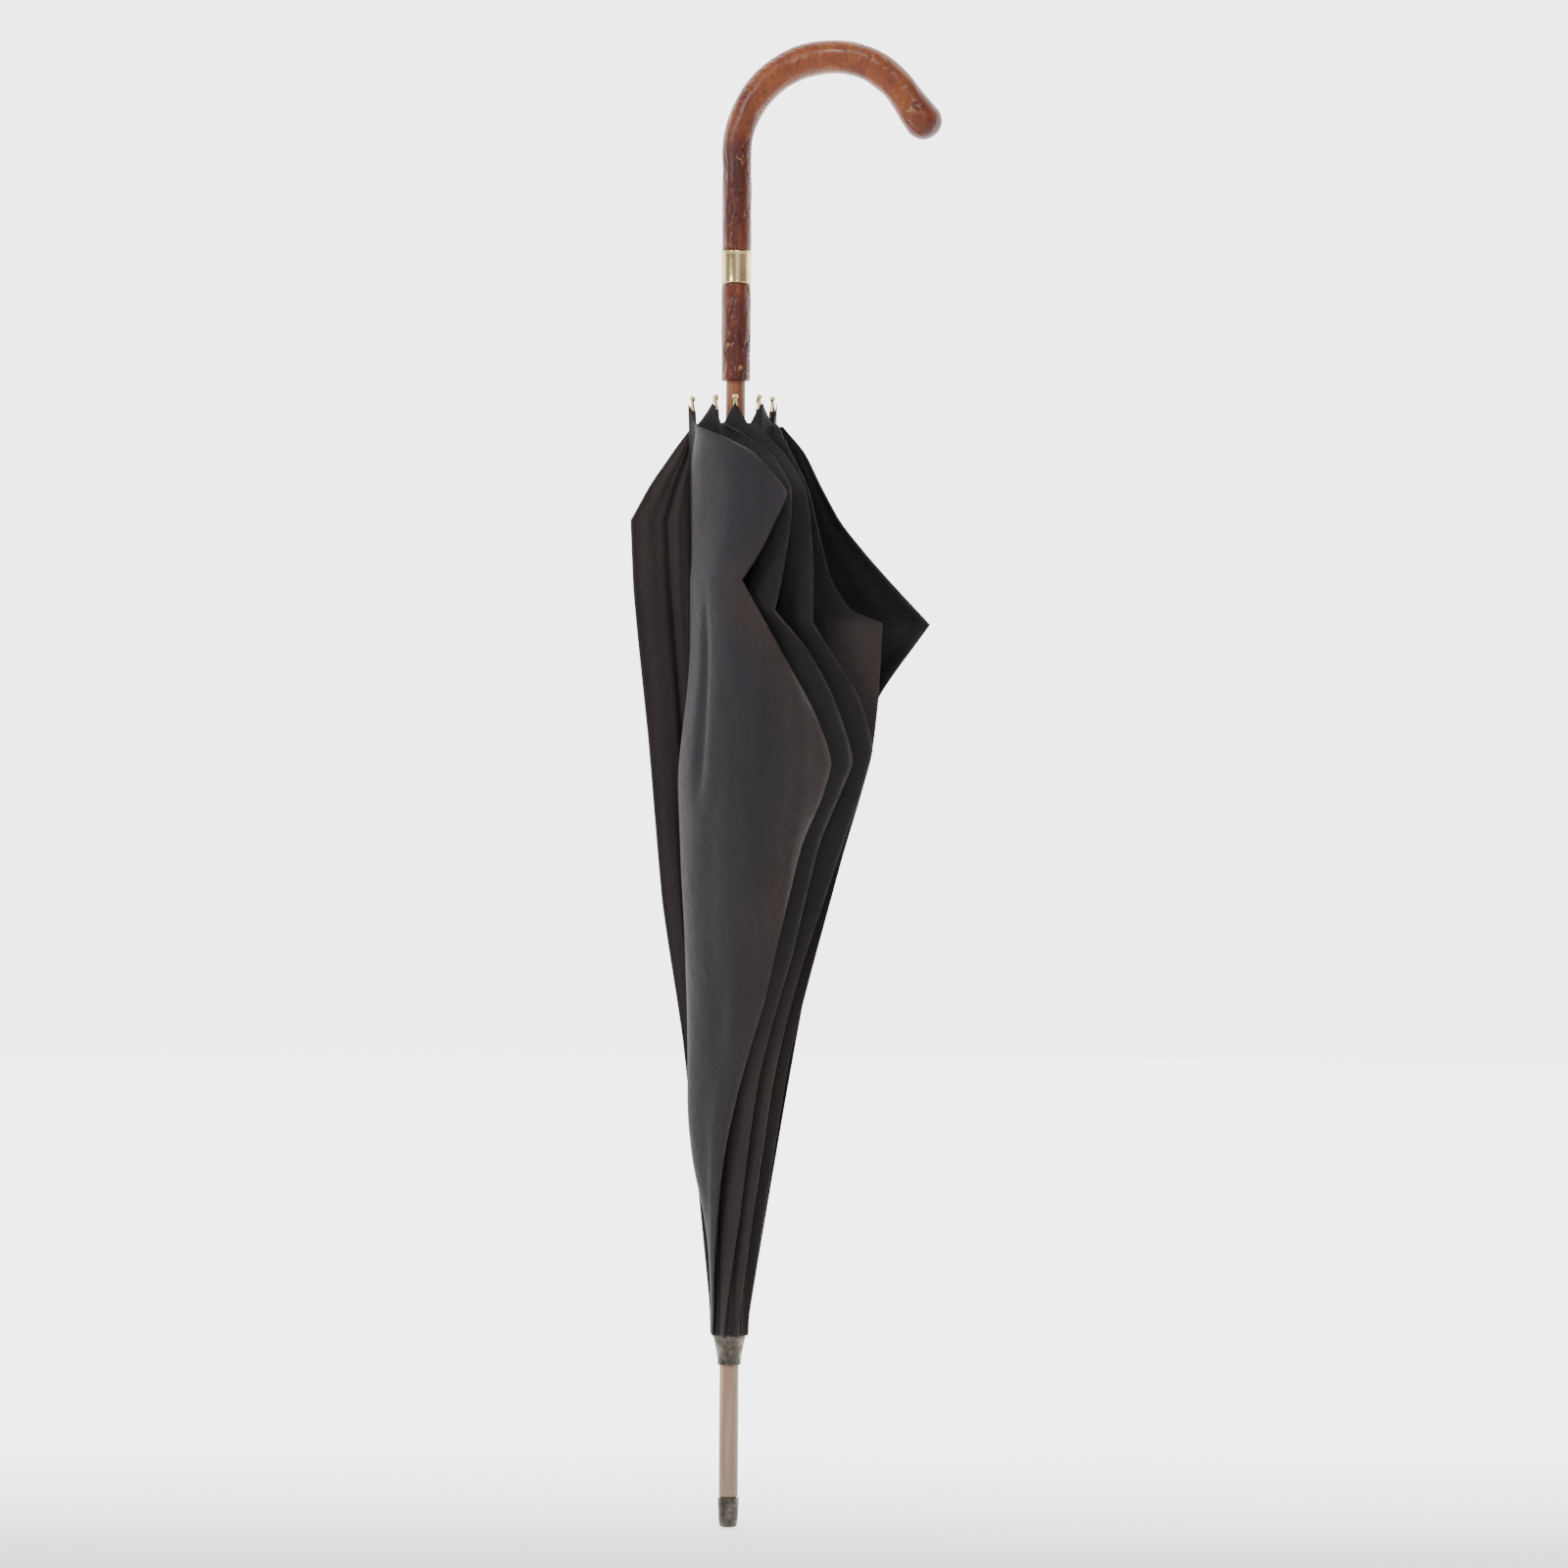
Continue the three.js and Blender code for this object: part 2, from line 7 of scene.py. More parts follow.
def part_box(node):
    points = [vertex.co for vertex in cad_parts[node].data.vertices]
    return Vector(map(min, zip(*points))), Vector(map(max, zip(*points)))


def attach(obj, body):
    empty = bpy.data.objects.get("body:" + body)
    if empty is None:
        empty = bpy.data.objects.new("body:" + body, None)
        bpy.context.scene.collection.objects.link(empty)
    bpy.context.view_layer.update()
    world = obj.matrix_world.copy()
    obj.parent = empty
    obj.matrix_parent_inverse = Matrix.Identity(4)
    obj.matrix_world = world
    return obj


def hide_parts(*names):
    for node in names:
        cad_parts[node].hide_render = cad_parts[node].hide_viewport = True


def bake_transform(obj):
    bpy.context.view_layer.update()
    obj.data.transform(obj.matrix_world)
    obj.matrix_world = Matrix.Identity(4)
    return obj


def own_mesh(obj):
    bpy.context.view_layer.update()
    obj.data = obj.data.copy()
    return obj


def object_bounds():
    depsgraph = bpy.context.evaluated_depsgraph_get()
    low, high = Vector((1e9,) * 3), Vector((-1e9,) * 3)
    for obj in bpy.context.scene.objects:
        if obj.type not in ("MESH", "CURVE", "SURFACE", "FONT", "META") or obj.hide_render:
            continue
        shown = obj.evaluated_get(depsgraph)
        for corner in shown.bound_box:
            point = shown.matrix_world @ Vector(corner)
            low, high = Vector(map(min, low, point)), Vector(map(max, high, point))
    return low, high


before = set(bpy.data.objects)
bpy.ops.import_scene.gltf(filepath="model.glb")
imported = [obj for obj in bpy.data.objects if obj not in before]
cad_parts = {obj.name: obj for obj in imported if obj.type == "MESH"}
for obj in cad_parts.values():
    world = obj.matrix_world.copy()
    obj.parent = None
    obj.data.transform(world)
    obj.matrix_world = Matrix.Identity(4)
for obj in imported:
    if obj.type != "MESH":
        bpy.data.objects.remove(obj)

CAD_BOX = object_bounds()

# ---- Driving dimensions in millimetres, heights above the middle of the brass collar ----
MM = 0.001
RIBS = 8
STEP = 360 / RIBS
COLLAR_MID = 777
HINGE_Z = 127 - COLLAR_MID
HINGE_RADIUS = 7.7
RIB_LENGTH = 571
RIB_TIP_RADII = [23, 20, 17, 18, 26.6, 17, 17, 21]
CANOPY_BOTTOM = 118.6 - COLLAR_MID
CANOPY_HEIGHT = 574
HEM_DIP = 13  # how far the hem between two ribs stops short of their tips
CLEAR_OF_RIB = 2.7  # from a rib's axis out to the cloth
ROOT_PROUD = 1.2  # from there out to the line that a pleat starts from
ROOT_SPREAD_DEG = 2.6  # half the angle between a pleat's two layers at that line
ROUNDING = 0.55  # 0 joins a pleat's stations by straight lines, 1 by smooth curves
CLOTH = 0.34  # thickness
TUCKED = 1.5  # a strip's whole width, as a share of the width that shows
CROOK_BOTTOM = 787.3 - COLLAR_MID
CROOK_BEND_Z = 847.8 - COLLAR_MID
CROOK_RISE_RADIUS = 59.9
CROOK_FALL_RADIUS = 51.6
CROOK_FALL_SWEEP = math.radians(54)
CROOK_STRAIGHT = CROOK_BEND_Z - CROOK_BOTTOM
CROOK_RISE = CROOK_RISE_RADIUS * math.pi / 2
CROOK_FALL = CROOK_FALL_RADIUS * CROOK_FALL_SWEEP
CROOK_LENGTH = CROOK_STRAIGHT + CROOK_RISE + CROOK_FALL + 33.8
CROOK_RADIUS, BEND_RADIUS, NOSE_RADIUS = 9.0, 10.3, 11.6
GRIP_RADIUS = 8.9
GRIP_BORE_RADIUS = 6.35
GRIP_HIDE_OFFSET = 400  # keeps the grip's creases unlike the crook's
STITCH_PITCH = 3.1
TIP_BALL_RADIUS = 1.75
SEAM_FOOT = -6.5  # where a rib's seam starts, measured along the rib from its hinge
FLOOR_RADIUS = 5200

# The outer edge of each pleat, as stations of (height above the canopy's foot, distance from the axis,
# azimuth in degrees): first up the crease to the hem's corner, then along the hem to the ribs' tips.
# "puff" is how far the two layers bulge apart, and "folds" how deep their small folds are.
PLEATS = [
    {"crease": [(0, 11, 20), (180, 40, 8), (300, 62, 4), (391, 88, 2), (439, 121, 2)],
     "hem": [(439, 121, 2), (460, 101, 1), (481, 82, 1), (502, 65, 0), (524, 53, 2), (545, 43, 8),
             (561, 31, 18)],
     "puff": 3.0, "folds": 1.4},
    {"crease": [(0, 11, 65), (180, 36, 60), (352, 68, 55), (478, 80, 50)],
     "hem": [(478, 80, 50), (520, 54, 54), (561, 26, 64)], "puff": 3.5, "folds": 1.8},
    {"crease": [(0, 11, 112), (180, 34, 116), (352, 64, 120), (470, 78, 122)],
     "hem": [(470, 78, 122), (520, 52, 118), (561, 24, 112)], "puff": 3.5, "folds": 1.8},
    {"crease": [(0, 11, 160), (119, 23, 172), (183, 30, 176), (267, 43, 179), (365, 52, 181), (460, 62, 181),
                (502, 64, 181)],
     "hem": [(502, 64, 181), (524, 52, 180), (545, 38, 176), (561, 28, 162)], "puff": 2.0, "folds": 1.2},
    {"crease": [(0, 11, 215), (69, 19, 245), (108, 25, 260), (154, 33, 279), (208, 44, 298), (263, 56, 306),
                (305, 67, 310), (332, 77, 315), (353, 82, 317), (382, 78, 310), (415, 71, 297),
                (438, 66, 287), (463, 60, 275)],
     "hem": [(463, 60, 275), (482, 58, 287), (499, 57, 296), (517, 56, 305), (528, 51, 299), (542, 45, 284),
             (552, 38, 259), (561, 30, 212)], "puff": 0.0, "folds": 0.25},
    {"crease": [(0, 11, 254), (77, 19, 290), (119, 26, 296), (158, 33, 301), (197, 41, 310), (236, 51, 317),
                (274, 60, 320), (305, 68, 322), (336, 80, 326), (354, 86, 328), (392, 79, 321),
                (421, 71, 310), (445, 64, 293)],
     "hem": [(445, 64, 293), (472, 58, 302), (502, 53, 311), (521, 49, 315), (541, 39, 307), (553, 31, 282),
             (561, 27, 254)], "puff": 0.0, "folds": 0.25},
    {"crease": [(0, 11, 297), (69, 20, 312), (108, 27, 314), (154, 35, 316), (192, 43, 321), (231, 53, 326),
                (270, 65, 331), (305, 76, 334), (340, 87, 337), (362, 92, 338), (392, 86, 334),
                (438, 66, 317)],
     "hem": [(438, 66, 317), (484, 58, 326), (519, 52, 328), (541, 40, 322), (561, 26, 300)],
     "puff": 0.0, "folds": 0.25},
    {"crease": [(0, 11, 338), (170, 37, 346), (290, 68, 347), (362, 88, 347), (392, 91, 348), (439, 93, 349)],
     "hem": [(439, 93, 349), (447, 74, 346), (466, 62, 343), (502, 53, 341), (521, 48, 341), (541, 38, 340),
             (561, 28, 338)], "puff": 0.4, "folds": 0.4},
]
OUTER_PLEAT = 4

# The vector noise under the leather's veins is seeded from the clock unless a seed is set.
noise.seed_set(1)


# ---- Small helpers ----
def clamp(value, low=0.0, high=1.0):
    return max(low, min(high, value))


def lerp(a, b, share):
    return a + (b - a) * share


def smooth(share):
    share = clamp(share)
    return share * share * (3 - 2 * share)


def polar(radius, degrees, z):
    turn = math.radians(degrees)
    return Vector((radius * math.cos(turn), radius * math.sin(turn), z))


def mesh_object(name, points, faces, material):
    """An object made from points in millimetres."""
    mesh = bpy.data.meshes.new(name)
    mesh.from_pydata([tuple(Vector(p) * MM) for p in points], [], faces)
    mesh.validate()
    mesh.update()
    mesh.polygons.foreach_set("use_smooth", [True] * len(mesh.polygons))
    obj = bpy.data.objects.new(name, mesh)
    bpy.context.scene.collection.objects.link(obj)
    mesh.materials.append(material)
    return obj


def write_attribute(obj, name, values):
    attribute = obj.data.attributes.new(name, "FLOAT", "POINT")
    attribute.data.foreach_set("value", values)


def dye_and_shade_evenly(obj, wear_and_edge_highlight, lit_share, warm):
    """The three values that the cloth's material reads, the same all over the piece: lighter edges (partly
    wear, partly painted highlight), painted shade, and warm tone.
    """
    for name, value in (("wear_and_edge_highlight", wear_and_edge_highlight), ("lit_share", lit_share), ("warm", warm)):
        write_attribute(obj, name, [value] * len(obj.data.vertices))


def grid_faces(rows, width):
    """Quads between each of rows + 1 rows of points and the next, each row being width points long."""
    starts = [r * width + i for r in range(rows) for i in range(width - 1)]
    return [(a, a + 1, a + width + 1, a + width) for a in starts]


def lofted(name, rings, material, first=None, last=None, closed=False):
    """Rings of equal count joined in order. Closed joins the last ring to the first; else first and last
    are the points that close the two ends."""
    sides = len(rings[0])
    points = [p for ring in rings for p in ring]
    faces = []
    spans = len(rings) if closed else len(rings) - 1
    for r in range(spans):
        below = r * sides
        above = ((r + 1) % len(rings)) * sides
        for i in range(sides):
            j = (i + 1) % sides
            faces.append((below + i, below + j, above + j, above + i))
    if not closed:
        points += [first, last]
        top = (len(rings) - 1) * sides
        for i in range(sides):
            j = (i + 1) % sides
            faces.append((j, i, len(points) - 2))
            faces.append((top + i, top + j, len(points) - 1))
    return mesh_object(name, points, faces, material)


def circle(radius, z, sides, wobble=None):
    ring = []
    for i in range(sides):
        turn = 360 * i / sides
        ring.append(polar(radius + (wobble(turn, z) if wobble else 0), turn, z))
    return ring


def turned(name, profile, material, sides=72, wobble=None):
    """A closed profile of (radius, height) turned about the axis, with every radius above 0."""
    return lofted(name, [circle(r, z, sides, wobble) for r, z in profile], material, closed=True)


def bake(obj):
    """Applies the object's modifiers to its mesh."""
    graph = bpy.context.evaluated_depsgraph_get()
    mesh = bpy.data.meshes.new_from_object(obj.evaluated_get(graph))
    obj.modifiers.clear()
    obj.data = mesh


# ---- Camera, lights and stage ----
def add_camera():
    camera = bpy.data.cameras.new("camera")
    camera.lens = 110
    camera.sensor_width = 36
    obj = bpy.data.objects.new("camera", camera)
    bpy.context.scene.collection.objects.link(obj)
    frame_height = 0.968
    distance = frame_height * camera.lens / camera.sensor_width
    obj.location = (0.0315, -distance, -0.3185)
    obj.rotation_euler = (math.radians(90), math.radians(-0.38), 0)
    bpy.context.scene.camera = obj


def add_area(name, location, target, size, power, color=(1, 1, 1)):
    light = bpy.data.lights.new(name, "AREA")
    light.shape = "RECTANGLE"
    light.size, light.size_y = size
    light.energy = power
    light.color = color
    obj = bpy.data.objects.new(name, light)
    obj.location = location
    direction = Vector(target) - Vector(location)
    obj.rotation_euler = direction.to_track_quat("-Z", "Y").to_euler()
    bpy.context.scene.collection.objects.link(obj)


def glow_by_depth(tree, direction, low, high):
    """A strength that is low on the camera's side and high behind the object, by the Y of a vector."""
    split = tree.nodes.new("ShaderNodeSeparateXYZ")
    glow = tree.nodes.new("ShaderNodeMapRange")
    glow.interpolation_type = "SMOOTHSTEP"
    tree.links.new(direction, split.inputs[0])
    tree.links.new(split.outputs["Y"], glow.inputs["Value"])
    for key, value in (("From Min", -0.3), ("From Max", 0.45), ("To Min", low), ("To Max", high)):
        glow.inputs[key].default_value = value
    return glow.outputs[0]


def add_stage():
    world = bpy.data.worlds.new("studio")
    bpy.context.scene.world = world
    world.use_nodes = True
    tree = world.node_tree
    background = tree.nodes["Background"]
    background.inputs["Color"].default_value = (1, 1, 1, 1)
    around = tree.nodes.new("ShaderNodeTexCoord").outputs["Generated"]
    tree.links.new(glow_by_depth(tree, around, 0.5, 4.3), background.inputs["Strength"])
    floor_material = bpy.data.materials.new("pale_floor")
    floor_material.use_nodes = True
    tree = floor_material.node_tree
    shader = tree.nodes["Principled BSDF"]
    shader.inputs["Base Color"].default_value = (0.42, 0.42, 0.415, 1)
    shader.inputs["Roughness"].default_value = 0.95
    shader.inputs["Emission Color"].default_value = (1, 1, 1, 1)
    place = tree.nodes.new("ShaderNodeTexCoord").outputs["Object"]
    tree.links.new(glow_by_depth(tree, place, 0.45, 3.6), shader.inputs["Emission Strength"])
    z = CAD_BOX[0][2] / MM - 1.0
    sides = 96
    points = [(0, 0, z)] + [polar(FLOOR_RADIUS, 360 * i / sides, z) for i in range(sides)]
    faces = [(0, 1 + i, 1 + (i + 1) % sides) for i in range(sides)]
    floor = mesh_object("floor", points, faces, floor_material)
    middle = (0, 0, -0.3)
    add_area("key", (-1.5, -1.7, 1.0), middle, (0.7, 1.1), 34)
    add_area("front_fill", (0.5, -3.2, 0.3), middle, (1.6, 1.6), 8)
    add_area("handle_light", (0.15, -1.3, 1.1), (0.05, 0, 0.08), (0.5, 0.25), 13)


# ---- Materials ----
class Nodes:
    """Short calls for building one material's node tree."""

    def __init__(self, name):
        self.material = bpy.data.materials.new(name)
        self.material.use_nodes = True
        self.tree = self.material.node_tree
        self.shader = self.tree.nodes["Principled BSDF"]
        self.place = self.tree.nodes.new("ShaderNodeTexCoord").outputs["Object"]

    def add(self, kind, inputs=None, **settings):
        node = self.tree.nodes.new(kind)
        for key, value in settings.items():
            setattr(node, key, value)
        for key, value in (inputs or {}).items():
            self.put(node.inputs[key], value)
        return node

    def put(self, socket, value):
        if isinstance(value, bpy.types.NodeSocket):
            self.tree.links.new(value, socket)
        else:
            socket.default_value = value

    def scaled(self, scale):
        return self.add("ShaderNodeMapping", {"Vector": self.place, "Scale": scale}).outputs[0]

    def noise(self, scale, detail=4.0, rough=0.55, stretch=None, distortion=0.0):
        vector = self.scaled(stretch) if stretch else self.place
        inputs = {"Vector": vector, "Scale": scale, "Detail": detail, "Roughness": rough,
                  "Distortion": distortion}
        return self.add("ShaderNodeTexNoise", inputs).outputs["Fac"]

    def ramp(self, value, stops):
        node = self.add("ShaderNodeValToRGB", {"Fac": value})
        ramp = node.color_ramp
        while len(ramp.elements) < len(stops):
            ramp.elements.new(0.5)
        for element, (position, color) in zip(ramp.elements, stops):
            element.position = position
            element.color = (*color, 1)
        return node.outputs["Color"]

    def mix(self, share, a, b):
        node = self.add("ShaderNodeMix", data_type="RGBA")
        self.put(node.inputs[0], share)
        self.put(node.inputs[6], a if isinstance(a, bpy.types.NodeSocket) else (*a, 1))
        self.put(node.inputs[7], b if isinstance(b, bpy.types.NodeSocket) else (*b, 1))
        return node.outputs[2]

    def math(self, operation, a, b=0.0):
        node = self.add("ShaderNodeMath", operation=operation)
        self.put(node.inputs[0], a)
        self.put(node.inputs[1], b)
        return node.outputs[0]

    def attribute(self, name):
        return self.add("ShaderNodeAttribute", attribute_name=name).outputs["Fac"]

    def span(self, value, low, high, to_low=0.0, to_high=1.0):
        inputs = {"Value": value, "From Min": low, "From Max": high, "To Min": to_low, "To Max": to_high}
        return self.add("ShaderNodeMapRange", inputs).outputs[0]

    def bump(self, height, strength, distance, below=None):
        inputs = {"Height": height, "Strength": strength, "Distance": distance}
        if below:
            inputs["Normal"] = below
        return self.add("ShaderNodeBump", inputs).outputs[0]

    def finish(self, color, roughness, normal=None, **constants):
        self.put(self.shader.inputs["Base Color"], color)
        self.put(self.shader.inputs["Roughness"], roughness)
        if normal:
            self.put(self.shader.inputs["Normal"], normal)
        for key, value in constants.items():
            self.shader.inputs[key.replace("_", " ")].default_value = value
        return self.material


def cloth_material():
    n = Nodes("canopy_cloth")
    patches = n.noise(11, 5, 0.6)
    streaks = n.noise(30, 4, 0.6, stretch=(1, 1, 0.10))
    cool = n.ramp(patches, [(0.3, (0.012, 0.011, 0.0145)), (0.55, (0.017, 0.0155, 0.0200)),
                            (0.75, (0.023, 0.0205, 0.0245))])
    brown = n.ramp(patches, [(0.3, (0.017, 0.0125, 0.0120)), (0.55, (0.026, 0.0190, 0.0175)),
                             (0.75, (0.034, 0.0250, 0.0220))])
    faded = n.mix(n.attribute("warm"), cool, brown)
    streaked = n.mix(n.span(streaks, 0.42, 0.72, 0.0, 0.30), faded, (0.040, 0.033, 0.033))
    # Painted shade: cloth inside the folds and recesses is mixed towards near black in place of their shadow;
    # the outermost cloth keeps its full colour.
    color = n.mix(n.attribute("lit_share"), (0.0042, 0.0036, 0.0042), streaked)
    lint = n.span(n.noise(640, 2, 0.5), 0.73, 0.80)
    color = n.mix(n.math("MULTIPLY", lint, 0.22), color, (0.13, 0.115, 0.105))
    # Lighter, browner crease and hem edges: partly wear, partly a painted highlight on the folded edges.
    worn_and_highlit = n.math("MULTIPLY", n.attribute("wear_and_edge_highlight"), n.span(n.noise(90, 3, 0.6), 0.3, 0.7, 0.05, 0.55))
    color = n.mix(worn_and_highlit, color, (0.060, 0.044, 0.038))
    warp = n.add("ShaderNodeTexWave", {"Vector": n.place, "Scale": 520.0, "Distortion": 0.6, "Detail": 1.0},
                 bands_direction="Z")
    weft = n.add("ShaderNodeTexWave", {"Vector": n.place, "Scale": 470.0, "Distortion": 0.8, "Detail": 1.0},
                 bands_direction="DIAGONAL")
    weave = n.math("MULTIPLY", warp.outputs["Fac"], weft.outputs["Fac"])
    coarse = n.bump(n.noise(75, 6, 0.68), 0.75, 0.0018)
    normal = n.bump(weave, 0.35, 0.0002, coarse)
    rough = n.span(patches, 0.3, 0.7, 0.62, 0.78)
    return n.finish(color, rough, normal, Sheen_Weight=0.05, Sheen_Roughness=0.4, Specular_IOR_Level=0.20)


def leather_material():
    n = Nodes("embossed_leather")
    patches = n.noise(42, 5, 0.62, stretch=(1, 1, 0.5))
    dark = n.ramp(patches, [(0.28, (0.030, 0.0050, 0.0035)), (0.45, (0.068, 0.0110, 0.0055)),
                            (0.60, (0.115, 0.022, 0.0080)), (0.78, (0.200, 0.050, 0.0140))])
    tan = n.ramp(patches, [(0.28, (0.070, 0.0130, 0.0045)), (0.45, (0.135, 0.0290, 0.0080)),
                           (0.60, (0.195, 0.050, 0.0125)), (0.78, (0.290, 0.090, 0.0230))])
    height = n.add("ShaderNodeSeparateXYZ", {"Vector": n.place}).outputs["Z"]
    upper = n.span(n.math("ADD", height, n.math("MULTIPLY", n.noise(28, 3, 0.5), 0.05)), 0.085, 0.150)
    color = n.mix(upper, dark, tan)
    plum = n.span(n.noise(33, 3, 0.5), 0.52, 0.64, 0.0, 0.6)
    color = n.mix(plum, color, (0.055, 0.0075, 0.0085))
    groove = n.attribute("groove")
    color = n.mix(n.span(groove, 0.25, 0.9, 0.0, 0.65), color, (0.024, 0.0050, 0.0028))
    pale = n.math("MULTIPLY", n.span(groove, 0.55, 0.95), n.span(n.noise(70, 2, 0.5), 0.50, 0.58, 0.0, 0.85))
    color = n.mix(pale, color, (0.36, 0.16, 0.065))
    rubbed = n.span(n.noise(260, 4, 0.7, stretch=(1, 1, 0.4)), 0.60, 0.72, 0.0, 0.40)
    color = n.mix(rubbed, color, (0.30, 0.115, 0.040))
    grain = n.add("ShaderNodeTexVoronoi", {"Vector": n.place, "Scale": 900.0}, feature="DISTANCE_TO_EDGE")
    pores = n.bump(grain.outputs["Distance"], 0.30, 0.0002)
    normal = n.bump(n.noise(170, 4, 0.6), 0.45, 0.0006, pores)
    rough = n.span(n.noise(75, 4, 0.6), 0.3, 0.7, 0.28, 0.46)
    return n.finish(color, rough, normal, Specular_IOR_Level=0.30, Coat_Weight=0.08, Coat_Roughness=0.22)


def wood_material():
    n = Nodes("stick_wood")
    grain = n.noise(150, 6, 0.65, stretch=(1, 1, 0.035), distortion=0.6)
    flecks = n.noise(520, 3, 0.6, stretch=(1, 1, 0.06))
    pale = n.ramp(grain, [(0.32, (0.165, 0.085, 0.055)), (0.5, (0.30, 0.185, 0.125)),
                           (0.68, (0.42, 0.29, 0.215))])
    varnished = n.ramp(grain, [(0.3, (0.085, 0.024, 0.010)), (0.55, (0.21, 0.075, 0.026)),
                                (0.75, (0.33, 0.135, 0.05))])
    height = n.add("ShaderNodeSeparateXYZ", {"Vector": n.place}).outputs["Z"]
    worn_off = n.span(n.math("ADD", height, n.math("MULTIPLY", n.noise(30, 3, 0.6), 0.05)), -0.50, -0.35)
    color = n.mix(worn_off, pale, varnished)
    color = n.mix(n.span(flecks, 0.60, 0.72, 0.0, 0.6), color, (0.055, 0.03, 0.02))
    grimed = n.span(height, -0.745, -0.700, 0.55, 0.0)
    color = n.mix(grimed, color, (0.10, 0.07, 0.055))
    normal = n.bump(flecks, 0.4, 0.0002, n.bump(grain, 0.35, 0.0004))
    return n.finish(color, n.span(grain, 0.3, 0.7, 0.42, 0.62), normal, Specular_IOR_Level=0.4)


def brass_material():
    n = Nodes("polished_brass")
    tarnish = n.noise(85, 5, 0.65)
    color = n.ramp(tarnish, [(0.35, (0.50, 0.37, 0.17)), (0.55, (0.62, 0.48, 0.25)),
                             (0.75, (0.70, 0.56, 0.32))])
    scratches = n.noise(500, 3, 0.6, stretch=(1, 1, 0.06))
    rough = n.span(n.math("ADD", n.math("MULTIPLY", tarnish, -0.3), scratches), 0.1, 0.6, 0.17, 0.24)
    return n.finish(color, rough, n.bump(scratches, 0.03, 0.0001), Metallic=1.0)


def aged_material():
    n = Nodes("tarnished_metal")
    tarnish = n.noise(130, 6, 0.7)
    color = n.ramp(tarnish, [(0.32, (0.022, 0.020, 0.017)), (0.52, (0.075, 0.068, 0.055)),
                             (0.74, (0.19, 0.165, 0.125))])
    rings = n.noise(420, 3, 0.6, stretch=(0.15, 0.15, 1))
    normal = n.bump(rings, 0.25, 0.0002, n.bump(tarnish, 0.4, 0.0006))
    return n.finish(color, n.span(tarnish, 0.3, 0.7, 0.55, 0.34), normal, Metallic=0.85)


def enamel_material():
    n = Nodes("black_enamel")
    chips = n.span(n.noise(300, 5, 0.7), 0.64, 0.70, 0.0, 0.8)
    color = n.mix(chips, (0.012, 0.012, 0.013), (0.20, 0.19, 0.18))
    return n.finish(color, n.span(n.noise(120, 3, 0.5), 0.3, 0.7, 0.28, 0.46), n.bump(chips, 0.2, 0.0001),
                    Metallic=0.3)


def steel_material():
    n = Nodes("spring_steel")
    stain = n.noise(220, 5, 0.65)
    color = n.ramp(stain, [(0.35, (0.22, 0.19, 0.16)), (0.55, (0.48, 0.47, 0.45)),
                           (0.75, (0.62, 0.62, 0.61))])
    return n.finish(color, n.span(stain, 0.3, 0.7, 0.42, 0.26), n.bump(stain, 0.2, 0.0001), Metallic=1.0)


def thread_material():
    n = Nodes("pale_thread")
    twist = n.add("ShaderNodeTexWave", {"Vector": n.place, "Scale": 900.0}, bands_direction="DIAGONAL")
    color = n.mix(twist.outputs["Fac"], (0.30, 0.20, 0.12), (0.62, 0.50, 0.36))
    rough = n.span(n.noise(300), 0.3, 0.7, 0.6, 0.85)
    return n.finish(color, rough, n.bump(twist.outputs["Fac"], 0.5, 0.0002))


CLOTH_MATERIAL = cloth_material()
LEATHER = leather_material()
WOOD = wood_material()
BRASS = brass_material()
AGED = aged_material()
ENAMEL = enamel_material()
STEEL = steel_material()
THREAD = thread_material()


# ---- Stick, ferrule and crown ----
def box_mm(node):
    low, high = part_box(node)
    return [v / MM for v in low], [v / MM for v in high]


def stick_wobble(turn, z):
    """The slight unevenness of the stick's surface, in millimetres."""
    return 0.10 * noise.noise(polar(2.2, turn, z / 46))


def add_stick():
    low, high = box_mm("stick")
    ferrule_low, ferrule_high = box_mm("ferrule")
    radius = high[0]
    shoulder = ferrule_high[2] + 0.3
    heights = [lerp(shoulder + 1, 8.9, i / 160) for i in range(161)]
    rings = [circle(4.6, low[2], 48), circle(4.6, shoulder, 48)]
    rings += [circle(radius - 0.1, z, 48, stick_wobble) for z in heights]
    rings += [circle(3.5, 9.2, 48), circle(3.5, high[2], 48)]
    stick = lofted("wooden_stick", rings, WOOD, Vector((0, 0, low[2])), Vector((0, 0, high[2])))
    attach(stick, "stick")
    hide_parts("stick")

    def dents(turn, z):
        return 0.10 * noise.noise(Vector((turn / 23, z / 3.1, 4.2)))

    z, top = ferrule_low[2], ferrule_high[2]
    profile = [(0.4, z), (4.4, z), (5.2, z + 0.35), (5.6, z + 1.2), (5.75, z + 3.0), (5.75, z + 4.0),
               (5.95, z + 4.4), (6.35, top - 4.5), (6.6, top - 4.1), (6.65, top - 3.2), (6.5, top - 2.6),
               (6.55, top - 0.5), (6.4, top), (4.95, top), (4.95, z + 5), (0.4, z + 5)]
    ferrule = turned("ferrule_cup", profile, AGED, 64, dents)
    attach(ferrule, "stick")
    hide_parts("ferrule")

    low, high = box_mm("crown_cap")
    z, top = low[2], high[2]
    profile = [(6.35, z), (6.9, z), (7.25, z + 0.3), (7.35, z + 1.0), (7.2, z + 1.8), (7.3, z + 3),
               (7.9, z + 7), (8.7, z + 11.5), (9.5, z + 15.2), (10.0, z + 17.0), (10.3, z + 17.7),
               (10.3, top - 0.3), (10.0, top), (9.4, top), (6.35, top - 5)]
    cap = turned("crown_cup", profile, AGED, 72, dents)
    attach(cap, "stick")
    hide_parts("crown_cap")


